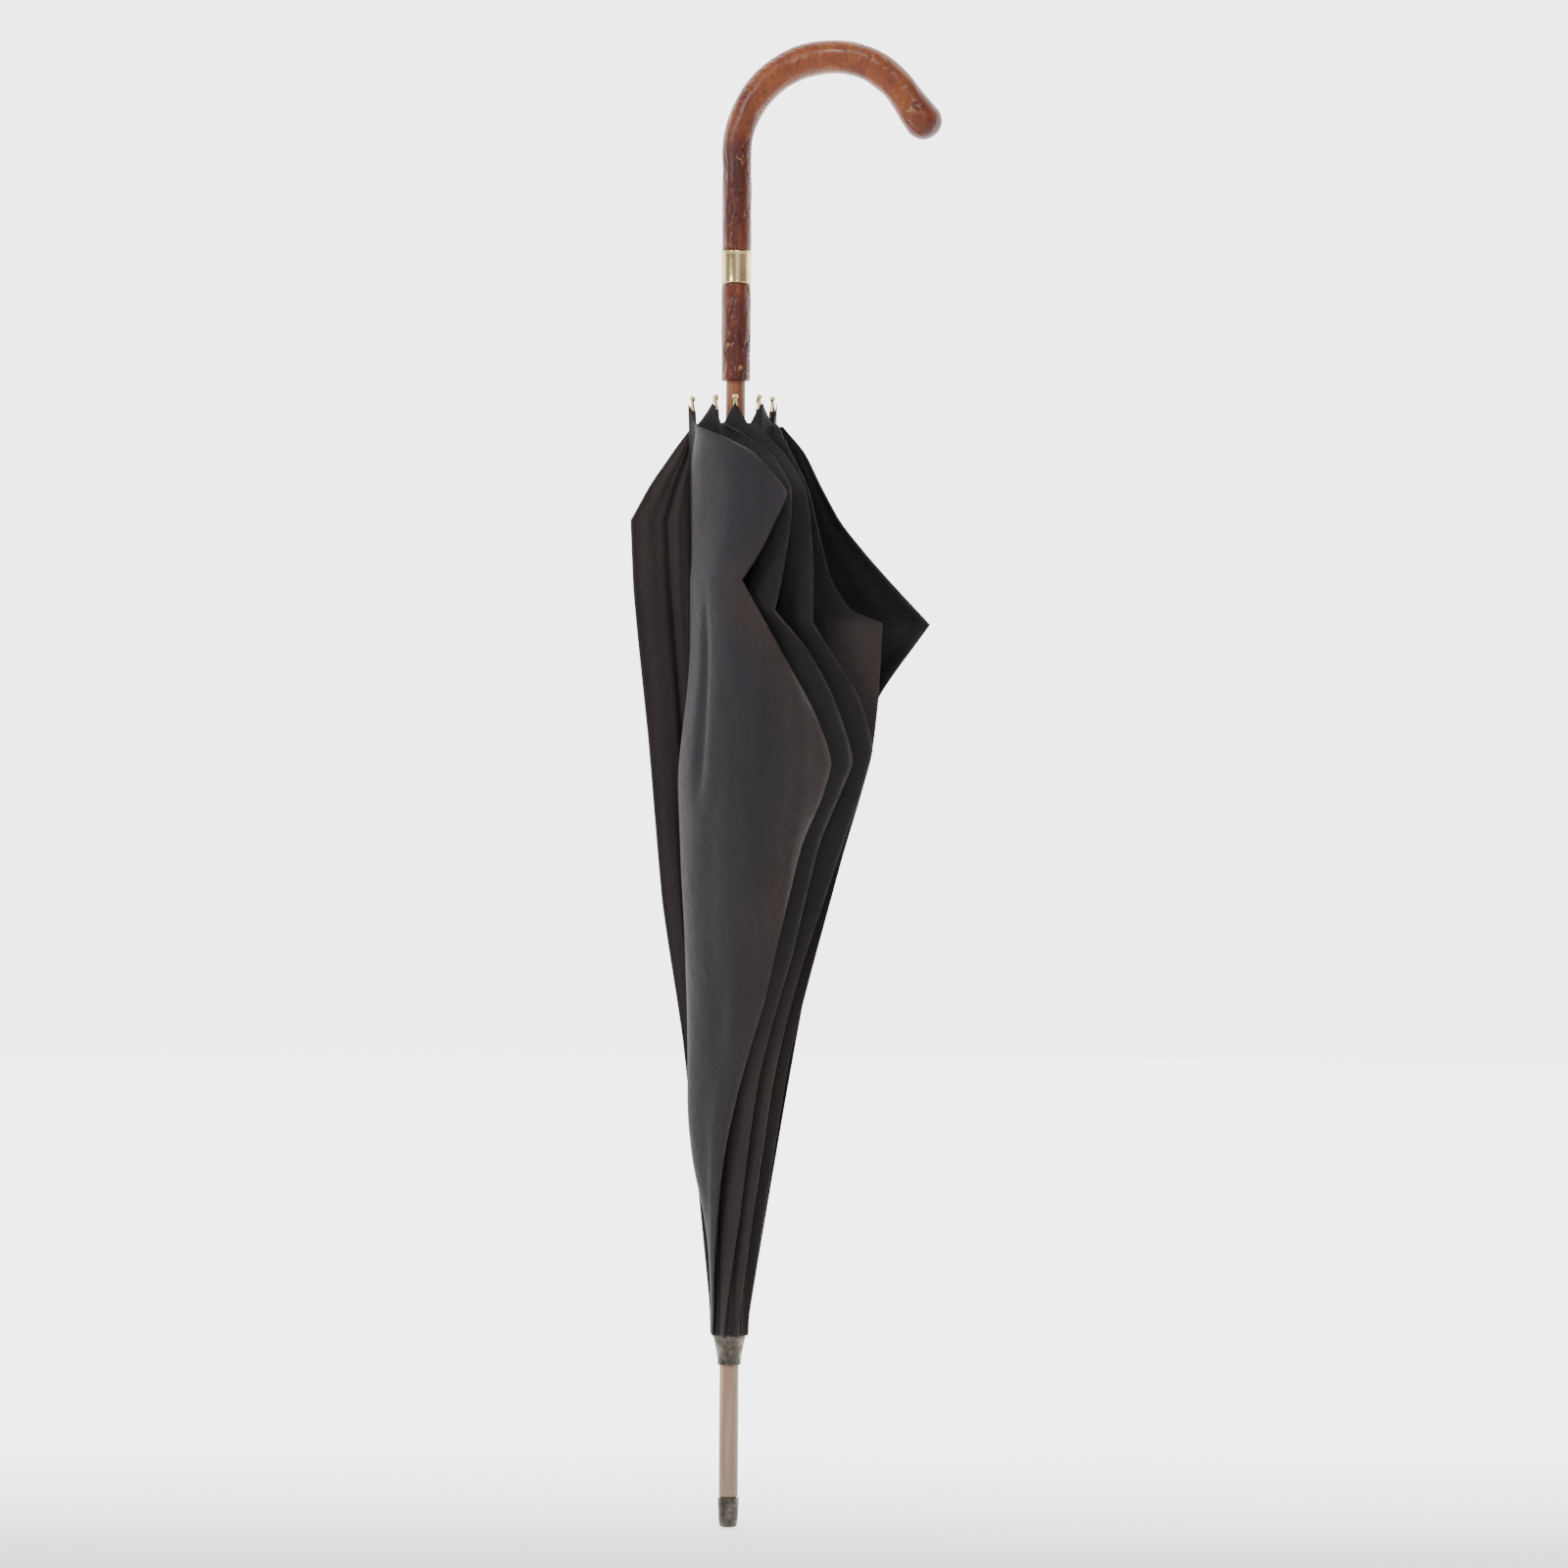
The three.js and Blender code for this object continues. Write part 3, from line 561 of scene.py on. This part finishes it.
# ---- Handle ----
def crook_frame(distance):
    """A point on the crook's centreline, and the direction away from the inside of the bend there."""
    if distance <= CROOK_STRAIGHT:
        return Vector((0, 0, CROOK_BOTTOM + distance)), Vector((-1, 0, 0))
    past_bend = distance - CROOK_STRAIGHT
    past_top = max(past_bend - CROOK_RISE, 0)
    rising = past_bend <= CROOK_RISE
    radius = CROOK_RISE_RADIUS if rising else CROOK_FALL_RADIUS
    fall_turn = min(past_top / CROOK_FALL_RADIUS, CROOK_FALL_SWEEP)
    turn = past_bend / CROOK_RISE_RADIUS if rising else math.pi / 2 + fall_turn
    out = Vector((-math.cos(turn), 0, math.sin(turn)))
    ahead = Vector((math.sin(turn), 0, math.cos(turn)))
    centre = Vector((CROOK_RISE_RADIUS, 0, CROOK_BEND_Z + CROOK_RISE_RADIUS - radius))
    return centre + out * radius + ahead * max(past_top - CROOK_FALL, 0), out


def crook_radius(distance):
    even = lerp(CROOK_RADIUS, BEND_RADIUS, smooth((distance - CROOK_STRAIGHT) / 70))
    full = lerp(even, NOSE_RADIUS, smooth((distance - (CROOK_LENGTH - 30)) / 22))
    inward = max(0.0, 1 - max(CROOK_LENGTH - distance, 0) / full)
    return full * math.sqrt(max(0.0, 1 - inward * inward))


def vein_groove(distance, turn):
    """Long wavy veins that branch and thin away along the hide: 1 in the middle of one."""
    place = Vector((math.cos(turn) * 1.15, math.sin(turn) * 1.15, distance / 21))
    place += noise.noise_vector(place * 1.3) * 0.45
    distances, _ = noise.voronoi(place)
    line = clamp(1 - (distances[1] - distances[0]) / 0.13)
    patch = noise.noise(Vector((math.cos(turn) * 1.7, math.sin(turn) * 1.7, distance / 12 + 5)))
    present = smooth((patch + 0.08) / 0.3)
    on_bend = smooth((distance - CROOK_STRAIGHT) / 25) * smooth((CROOK_LENGTH - 30 - distance) / 20)
    return line * present * (1 - 0.8 * on_bend)


def bend_groove(distance, turn):
    """Short creases across the bend's back and side, where the hide is drawn round it."""
    on_bend = smooth((distance - CROOK_STRAIGHT - 8) / 25) * smooth((CROOK_LENGTH - 34 - distance) / 25)
    place = Vector((math.cos(turn) * 1.1, math.sin(turn) * 1.1, distance / 15))
    phase = distance / 5.6 + 0.9 * noise.noise(place) + 0.22 * math.cos(turn * 2)
    line = clamp(1 - abs(phase % 1 - 0.5) / 0.12)
    present = smooth((noise.noise(place * 1.9 + Vector((3, 7, 1))) + 0.16) / 0.22)
    return line * present * on_bend * smooth((math.cos(turn) + 0.75) / 0.5)


def leather_lift(distance, turn):
    """How far the hide stands off its even radius, and how deep in a groove this point is."""
    veins = vein_groove(distance, turn)
    creases = bend_groove(distance, turn)
    place = Vector((math.cos(turn) * 1.5, math.sin(turn) * 1.5, distance / 15))
    fine = Vector((math.cos(turn) * 6, math.sin(turn) * 6, distance / 4))
    lift = 0.45 * noise.noise(place) + 0.12 * noise.noise(fine)
    return lift - 0.40 * smooth(veins) - 0.50 * smooth(creases), max(veins, creases)


def add_crook():
    sides = 84
    steps = 330
    rings = []
    grooves = []
    for r in range(steps):
        distance = CROOK_LENGTH * (1 - (1 - r / steps) ** 1.04)
        at, out = crook_frame(distance)
        base = crook_radius(distance)
        ring = []
        for i in range(sides):
            turn = 2 * math.pi * i / sides
            lift, groove = leather_lift(distance, turn)
            hold = smooth(base / 5) * smooth(distance / 3)
            radius = base + lift * hold - (0.35 if distance < 0.6 else 0)
            ring.append(at + out * radius * math.cos(turn) + Vector((0, 1, 0)) * radius * math.sin(turn))
            grooves.append(groove)
        rings.append(ring)
    crook = lofted("crook_hide", rings, LEATHER, crook_frame(0)[0], crook_frame(CROOK_LENGTH)[0])
    write_attribute(crook, "groove", grooves + [0, 0])
    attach(crook, "stick")
    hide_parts("crook_leather", "crook_core")


def add_grip():
    low, high = box_mm("grip_leather")
    sides, steps = 84, 110
    rings = []
    grooves = []
    for r in range(steps):
        share = r / (steps - 1)
        z = lerp(low[2], high[2], share)
        rim = min(z - low[2], high[2] - z)
        ring = []
        for i in range(sides):
            turn = 2 * math.pi * i / sides
            lift, groove = leather_lift(z + GRIP_HIDE_OFFSET, turn)
            radius = GRIP_RADIUS + lift * smooth(rim / 3) - 0.55 * (1 - smooth(rim / 0.9))
            ring.append(polar(radius, math.degrees(turn), z))
            grooves.append(groove)
        rings.append(ring)
    inner = [circle(GRIP_BORE_RADIUS, high[2], sides), circle(GRIP_BORE_RADIUS, low[2], sides)]
    grip = lofted("grip_hide", rings + inner, LEATHER, closed=True)
    write_attribute(grip, "groove", grooves + [0.3] * (2 * sides))
    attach(grip, "stick")
    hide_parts("grip_leather")


def add_collar():
    low, high = box_mm("collar_band")
    z, top = low[2], high[2]

    def dents(turn, height):
        return 0.05 * noise.noise(Vector((turn / 31, height / 5, 8.1)))

    profile = [(6.4, z), (9.35, z), (9.62, z + 0.25), (9.66, z + 0.8), (9.45, z + 1.4), (9.30, z + 2.4),
               (9.22, z + 5), (9.20, z + 10), (9.22, top - 5), (9.30, top - 2.4), (9.45, top - 1.4),
               (9.66, top - 0.8),
               (9.62, top - 0.25), (9.35, top), (6.4, top)]
    collar = turned("collar_ring", profile, BRASS, 96, dents)
    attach(collar, "stick")
    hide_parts("collar_band")


def stitch(points, faces, at, along, out, length=1.5, width=0.28):
    """One short raised thread, added to a mesh's points and faces."""
    across = along.cross(out).normalized()
    first = len(points)
    for share in (-1, -0.5, 0, 0.5, 1):
        rise = 0.30 * (1 - share * share) - 0.05
        centre = at + along * (length / 2 * share) + out * rise
        for turn in range(6):
            angle = math.tau * turn / 6
            size = width * (0.35 if abs(share) == 1 else 1)
            points.append(centre + across * size * math.cos(angle) + out * size * math.sin(angle))
    for r in range(4):
        for i in range(6):
            j = (i + 1) % 6
            a = first + r * 6
            faces.append((a + i, a + j, a + 6 + j, a + 6 + i))
    faces.append(tuple(first + i for i in reversed(range(6))))
    faces.append(tuple(first + 24 + i for i in range(6)))


def add_stitches():
    """The hide's seam, which runs up the side that the crook bends towards."""
    points, faces = [], []
    distance = 4.0
    while distance < CROOK_LENGTH - 16:
        at, out = crook_frame(distance)
        ahead, _ = crook_frame(distance + 0.5)
        inward = (-out - Vector((0, 0.5, 0))).normalized()
        on_hide = at + inward * (crook_radius(distance) - 0.02)
        stitch(points, faces, on_hide, (ahead - at).normalized(), inward)
        distance += STITCH_PITCH
    low, high = box_mm("grip_leather")
    z = low[2] + 3
    seam = polar(1, -18, 0)
    while z < high[2] - 2:
        stitch(points, faces, Vector((0, 0, z)) + seam * (GRIP_RADIUS - 0.05), Vector((0, 0, 1)), seam)
        z += STITCH_PITCH
    thread = mesh_object("seam_thread", points, faces, THREAD)
    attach(thread, "stick")


# ---- Ribs' ends ----
def rib_lean(k):
    return math.asin((RIB_TIP_RADII[k] - HINGE_RADIUS) / RIB_LENGTH)


def rib_radius(k, z):
    return HINGE_RADIUS + (z - HINGE_Z) * math.tan(rib_lean(k))


def rib_frame(k):
    """Takes a point given along the rib, from its hinge, to its place in the whole object."""
    place = Matrix.Rotation(math.radians(k * STEP), 4, "Z")
    place @= Matrix.Translation((HINGE_RADIUS, 0, HINGE_Z))
    return place @ Matrix.Rotation(rib_lean(k), 4, "Y")


def add_tip(k):
    """The brass end on a rib: a flared socket, a neck and a ball."""
    place = rib_frame(k)
    end = RIB_LENGTH
    ball = TIP_BALL_RADIUS
    profile = [(0.5, end - 13), (1.9, end - 14), (2.0, end - 13.4), (1.9, end - 12.4), (1.75, end - 11),
               (1.45, end - 8), (1.05, end - 5.5), (0.85, end - 3.8)]
    for i in range(1, 9):
        turn = math.radians(lerp(-62, 84, i / 8))
        profile.append((ball * math.cos(turn), end - ball + ball * math.sin(turn)))
    rings = [[place @ p for p in circle(r, z, 20)] for r, z in profile]
    tip = lofted(f"tip_{k + 1}", rings, BRASS, place @ Vector((0, 0, end - 13)), place @ Vector((0, 0, end)))
    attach(tip, f"rib_{k + 1}")
    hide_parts(f"rib_tip_{k + 1}")


def add_rib_cloth(k):
    """The seam over a rib, and the little pocket at its end that the brass tip stands in."""
    place = rib_frame(k)
    rings = []
    for i in range(121):
        share = i / 120
        along = lerp(SEAM_FOOT, RIB_LENGTH - 9.5, share)
        pocket = smooth((along - (RIB_LENGTH - 30)) / 13)
        offset = lerp(CLEAR_OF_RIB - 0.1, 0.30, pocket)
        width = lerp(0.75, 2.35, pocket) * (1 + 0.10 * noise.noise(Vector((along / 7, k, 0.3))))
        flat = lerp(0.65, 0.95, pocket)
        ring = []
        for side in range(12):
            turn = math.tau * side / 12
            point = Vector((offset + width * flat * math.cos(turn), width * math.sin(turn), along))
            ring.append(place @ point)
        rings.append(ring)
    start = place @ Vector((CLEAR_OF_RIB - 0.1, 0, SEAM_FOOT))
    end = place @ Vector((0.30, 0, RIB_LENGTH - 10.0))
    seam = lofted(f"rib_seam_{k + 1}", rings, CLOTH_MATERIAL, start, end)
    # Painted shade: the seam's cloth is darkened part way in place of shadow.
    dye_and_shade_evenly(seam, wear_and_edge_highlight=0.1, lit_share=0.5, warm=0.7)
    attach(seam, f"rib_{k + 1}")


# ---- Canopy ----
def hermite(stations, height):
    """The distance and azimuth at a height, from stations: part straight, part a curve without overshoot."""
    i = 0
    while i + 2 < len(stations) and height > stations[i + 1][0]:
        i += 1

    def slope(j, column):
        if j == 0 or j == len(stations) - 1:
            other = 1 if j == 0 else j - 1
            return (stations[other][column] - stations[j][column]) / (stations[other][0] - stations[j][0])
        before = (stations[j][column] - stations[j - 1][column]) / (stations[j][0] - stations[j - 1][0])
        after = (stations[j + 1][column] - stations[j][column]) / (stations[j + 1][0] - stations[j][0])
        if before * after <= 0:
            return 0.0
        return 2 * before * after / (before + after)

    low, high = stations[i], stations[i + 1]
    span = high[0] - low[0]
    t = clamp((height - low[0]) / span)
    values = []
    for column in (1, 2):
        rise = (2 * t ** 3 - 3 * t ** 2 + 1) * low[column] + (-2 * t ** 3 + 3 * t ** 2) * high[column]
        bend = (t ** 3 - 2 * t ** 2 + t) * slope(i, column) + (t ** 3 - t ** 2) * slope(i + 1, column)
        values.append(lerp(lerp(low[column], high[column], t), rise + bend * span, ROUNDING))
    return values


def corner_height(k):
    """Where the crease of a pleat ends and its hem starts."""
    return PLEATS[k]["crease"][-1][0]


def edge_at(k, height):
    return hermite(PLEATS[k]["crease" if height <= corner_height(k) else "hem"], height)


def cloth_radius(k, share, z):
    return lerp(rib_radius(k, z), rib_radius((k + 1) % RIBS, z), share) + CLEAR_OF_RIB


def root_radius(k, z):
    return cloth_radius(k, 0.5, z) + ROOT_PROUD


def pleat_heights(k):
    corner = corner_height(k)
    below, above = 96, 40
    heights = [corner * i / below for i in range(below)]
    return heights + [lerp(corner, CANOPY_HEIGHT - HEM_DIP, i / above) for i in range(above + 1)]


def pleat_path(k, height, s):
    """A point on the pleat's middle surface: s runs from its root, at the ribs, to its outer edge."""
    z = CANOPY_BOTTOM + height
    radius, azimuth = edge_at(k, height)
    root = root_radius(k, z)
    middle = (k + 0.5) * STEP
    return polar(lerp(root, max(radius, root + 1), s), lerp(middle, azimuth, s), z)


def fold_depth(k, height):
    """The length of cloth in one layer of the pleat, from its root round to its edge."""
    steps = 24
    places = [pleat_path(k, height, i / steps) for i in range(steps + 1)]
    return sum((b - a).length for a, b in zip(places, places[1:]))


def fold_cut(k):
    """The width in metres and the area in square metres of the cloth that the pleat takes, laid flat."""
    rows = 64
    depths = [fold_depth(k, CANOPY_HEIGHT * i / rows) for i in range(rows + 1)]
    return 2 * max(depths) * MM, 2 * sum(depths) / (rows + 1) * CANOPY_HEIGHT * MM * MM


def hump(value, middle, width):
    """1 at the middle, falling away to nothing on both sides."""
    return math.exp(-(((value - middle) / width) ** 2))


def swing(k, height, s, side):
    """How far one layer stands off the middle surface, in millimetres."""
    pleat = PLEATS[k]
    growth = smooth(height / 260)
    closing = 1 - smooth((height - 535) / 28)
    off = 0.42 + pleat["puff"] * math.sin(math.pi * clamp(s)) * growth * closing * (0.75 + 0.25 * side)
    wander = noise.noise(Vector((height / 75, s * 3.1, 11.7 * k + 3.3 * side)))
    ripple = noise.noise(Vector((height / 150, s * 7.5, 5.1 * k + side)))
    inside = smooth(s / 0.12) * smooth((1 - s) / 0.05)
    off += pleat["folds"] * growth * closing * (0.5 * wander + 0.6 * ripple) * inside
    if k == OUTER_PLEAT and side < 0:
        off += outer_folds(height, s, pleat_path(k, height, s).x) * smooth(height / 150) * closing
    if k == OUTER_PLEAT - 1 and side > 0:
        drift = 0.42 + 0.05 * math.sin(height / 70)
        rise = 2.4 * smooth(s / 0.2) * smooth((1 - s) / 0.3)
        off += growth * closing * (rise - 3.0 * hump(s, drift, 0.07))
    return max(off, 0.3)


def outer_folds(height, s, x):
    """The soft folds of the one panel that lies over all the others."""
    drift = 1.6 * math.sin(height / 60) + 2.2 * noise.noise(Vector((height / 55, 0.4, 6.1)))
    low_down = smooth((height - 40) / 70) * (1 - smooth((height - 335) / 95))
    bulge = 8.5 * smooth(s / 0.09) * (1 - smooth((s - 0.13) / 0.60)) * low_down
    crease = -3.2 * hump(x, -14.5, 2.0) * smooth((height - 318) / 40) * (1 - smooth((height - 415) / 60))
    valley = -2.9 * hump(x, 24 + drift, 5.5) * smooth((height - 150) / 90)
    ridge = 3.2 * hump(x, 38 + drift, 8) * smooth((height - 190) / 80)
    middle = 1.8 * hump(x, 3 - drift, 11)
    wander = 1.3 * noise.noise(Vector((x / 15, height / 90, 2.2)))
    wander += 0.5 * noise.noise(Vector((x / 6, height / 60, 9)))
    pucker = hump(height, 322, 42) * hump(s, 0.91, 0.09)
    jitter = 2.5 * noise.noise(Vector((height / 14, x / 20, 1)))
    puckers = 0.9 * pucker * math.sin(height / 2.8 + x / 3.3 + jitter)
    total = bulge + crease + valley + ridge + middle + wander * smooth(s / 0.1) + puckers
    return 2.6 * smooth(s / 0.05) * smooth((1 - s) / 0.30) + total * smooth((1 - s) / 0.05)


def lit_share_at(k, height, s, side):
    """How much of the cloth keeps its lit colour against a painted shade near black: most on the cloth that
    lies outermost, none inside the folds, where the recesses are painted dark in place of their shadow.
    """
    if k in (1, 2):
        return 0.6
    if k == OUTER_PLEAT - 1:
        return 0.85 if side > 0 else 0.5
    if k == 0:
        return 0.55 if side > 0 else 0.0
    if side > 0:
        return 0.0
    if k == OUTER_PLEAT:
        return 1.0
    low_band = 1 - smooth((height - 150) / 150)
    hem_band = 0.7 * smooth((height - 508) / 24)
    panel = 0.0
    if k == RIBS - 1:
        near_edge = smooth((s - 0.45) / 0.2)
        below_corner = smooth((corner_height(k) + 6 - height) / 8)
        panel = 0.95 * near_edge * smooth((height - 300) / 50) * below_corner
    return max(0.8 * low_band, hem_band, panel, 0.12)


def warmth(k, height, s):
    """How brown the faded dye has turned, against blue-grey."""
    if k == OUTER_PLEAT:
        middle_band = smooth((height - 150) / 120) * (1 - smooth((height - 440) / 60))
        return 0.15 + 0.75 * smooth((s - 0.74) / 0.2) * middle_band
    if k < OUTER_PLEAT:
        return 0.85
    return lerp(0.9, 0.25, smooth((height - 495) / 25))


def pleat_row(k, height, side, columns):
    """One layer's row of points, from the root to the edge. side is -1 for the layer that starts at rib k."""
    row = []
    for i in range(columns + 1):
        s = i / columns
        at = pleat_path(k, height, s)
        ahead = pleat_path(k, height, min(s + 0.02, 1)) - pleat_path(k, height, max(s - 0.02, 0))
        across = Vector((-ahead.y, ahead.x, 0)).normalized()
        row.append(at + across * side * swing(k, height, s, side))
    spread = polar(root_radius(k, row[0].z), (k + 0.5) * STEP + side * ROOT_SPREAD_DEG, row[0].z)
    row[0] = spread
    row[1] = row[1].lerp(spread, 0.35)
    return row


def thicken(obj):
    """Gives a sheet the cloth's thickness, half of it to each side."""
    solid = obj.modifiers.new("cloth", "SOLIDIFY")
    solid.thickness = CLOTH * MM
    solid.offset = 0
    bake(obj)


def add_pleat(k):
    """A doubled fold of cloth: two layers that meet in a crease below the hem's corner and part above it."""
    columns = 40
    heights = pleat_heights(k)
    points, wear_and_edge_highlight, lit_shares, warms = [], [], [], []
    width = 2 * (columns + 1)
    spots = [(i / columns, -1) for i in range(columns + 1)]
    spots += [(i / columns, 1) for i in reversed(range(columns + 1))]
    for height in heights:
        row = pleat_row(k, height, -1, columns) + pleat_row(k, height, 1, columns)[::-1]
        points += row
        lit_shares += [lit_share_at(k, height, s, side) for s, side in spots]
        warms += [warmth(k, height, s) for s, _ in spots]
        # The two edge columns, and a little their neighbours, get the lighter edge: partly wear, partly
        # painted highlight.
        at_edge = [0.0] * width
        for i, share in ((columns, 0.85), (columns + 1, 0.85), (columns - 1, 0.12), (columns + 2, 0.12)):
            at_edge[i] = share
        wear_and_edge_highlight += at_edge
    faces = [face for face in grid_faces(len(heights) - 1, width)
             if face[0] % width != columns or heights[face[0] // width] < corner_height(k)]
    pleat = mesh_object(f"pleat_cloth_{k + 1}", points, faces, CLOTH_MATERIAL)
    # Lighter crease and hem edges, partly wear and partly a painted highlight, and the painted shade of the
    # recesses.
    write_attribute(pleat, "wear_and_edge_highlight", wear_and_edge_highlight)
    write_attribute(pleat, "lit_share", lit_shares)
    write_attribute(pleat, "warm", warms)
    thicken(pleat)
    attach(pleat, f"pleat_{k + 1}")
    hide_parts(f"pleat_{k + 1}")
    mid_height = 300
    root, edge = pleat_path(k, mid_height, 0), pleat_path(k, mid_height, 1)
    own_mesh(pleat)
    return pleat


def strip_rib(k, side):
    """The rib that a strip hangs from, and its azimuth in degrees."""
    return (k, k * STEP) if side < 0 else ((k + 1) % RIBS, (k + 1) * STEP)


def strip_edges(k, side, share):
    """The two ends of the strip's width at a share of its height: over its rib, and at the pleat's root."""
    rib, rib_azimuth = strip_rib(k, side)
    z = CANOPY_BOTTOM + CANOPY_HEIGHT * share
    over_rib = polar(rib_radius(rib, z) + CLEAR_OF_RIB, rib_azimuth, z)
    z = CANOPY_BOTTOM + (CANOPY_HEIGHT - HEM_DIP) * share
    return over_rib, polar(root_radius(k, z), (k + 0.5) * STEP + side * ROOT_SPREAD_DEG, z)


def strip_cut(k, side):
    """The width in metres and the area in square metres of the strip's cloth, laid flat, tuck included."""
    rows = 32
    ends = [strip_edges(k, side, i / rows) for i in range(rows + 1)]
    widths = [(b - a).xy.length * TUCKED for a, b in ends]
    return max(widths) * MM, sum(widths) / (rows + 1) * CANOPY_HEIGHT * MM * MM


def add_strip(k, side):
    """The cloth between a rib and a pleat's root. side -1 starts at rib k, +1 ends at rib k+1."""
    rib, rib_azimuth = strip_rib(k, side)
    rows = 96
    shares = [0, 0.04, 0.09, 0.15, 0.22, 0.30, 0.38, 0.46, 0.54, 0.62, 0.72, 0.85, 1, TUCKED]
    points = []
    for r in range(rows + 1):
        start, end = strip_edges(k, side, r / rows)
        for share in shares:
            dip = 0.5 * math.sin(math.pi * share) if share <= 1 else 1.0 + 0.6 * side
            point = start.lerp(end, share)
            points.append(point - Vector((point.x, point.y, 0)).normalized() * dip)
    name = f"strip_{'left' if side < 0 else 'right'}_{k + 1}"
    strip = mesh_object(name, points, grid_faces(rows, len(shares)), CLOTH_MATERIAL)
    # Painted shade: the strip, down between rib and pleat, is darkened in place of its shadow.
    dye_and_shade_evenly(strip, wear_and_edge_highlight=0.0, lit_share=0.45, warm=0.7)
    thicken(strip)
    outward = polar(1, rib_azimuth, 0)
    along = Vector((-outward.y, outward.x, 0)) * -side
    start = outward * 12 + along * 0.3
    if side > 0:
        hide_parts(f"seam_{k + 1}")
    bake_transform(strip)
    return strip


def add_rosette():
    """The gathered cloth washer under the crown cup."""
    low, high = box_mm("crown_rosette")
    z, top = low[2], high[2]

    def gathers(turn, height):
        return 0.25 * math.sin(math.radians(turn) * 16)

    profile = [(6.4, z), (9.6, z), (10.4, z + 0.2), (10.6, z + 0.6), (10.2, top), (6.4, top)]
    rosette = turned("crown_cloth", profile, CLOTH_MATERIAL, 96, gathers)
    # Painted shade: the washer under the crown cup is darkened in place of its shadow.
    dye_and_shade_evenly(rosette, wear_and_edge_highlight=0.0, lit_share=0.4, warm=0.6)
    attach(rosette, "stick")
    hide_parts("crown_rosette")


# ---- The whole object ----
add_camera()
add_stage()
add_stick()
add_crook()
add_grip()
add_collar()
add_stitches()
add_rosette()

for k in range(RIBS):
    add_tip(k)
    add_rib_cloth(k)
    pleat = add_pleat(k)
    strips = [add_strip(k, -1), add_strip(k, 1)]
    width, area = fold_cut(k)
    for strip, side in zip(strips, (-1, 1)):
        width, area = strip_cut(k, side)

CAD_FINISH = {"top_notch": ENAMEL, "runner": ENAMEL, "notch_wire": STEEL, "runner_wire": STEEL,
              "top_spring": STEEL, "hand_spring": STEEL}
for k in range(RIBS):
    CAD_FINISH[f"rib_{k + 1}"] = ENAMEL
    CAD_FINISH[f"stretcher_{k + 1}"] = ENAMEL
for node, finish in CAD_FINISH.items():
    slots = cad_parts[node].material_slots
    for index in range(len(slots)):
        slots[index].material = finish
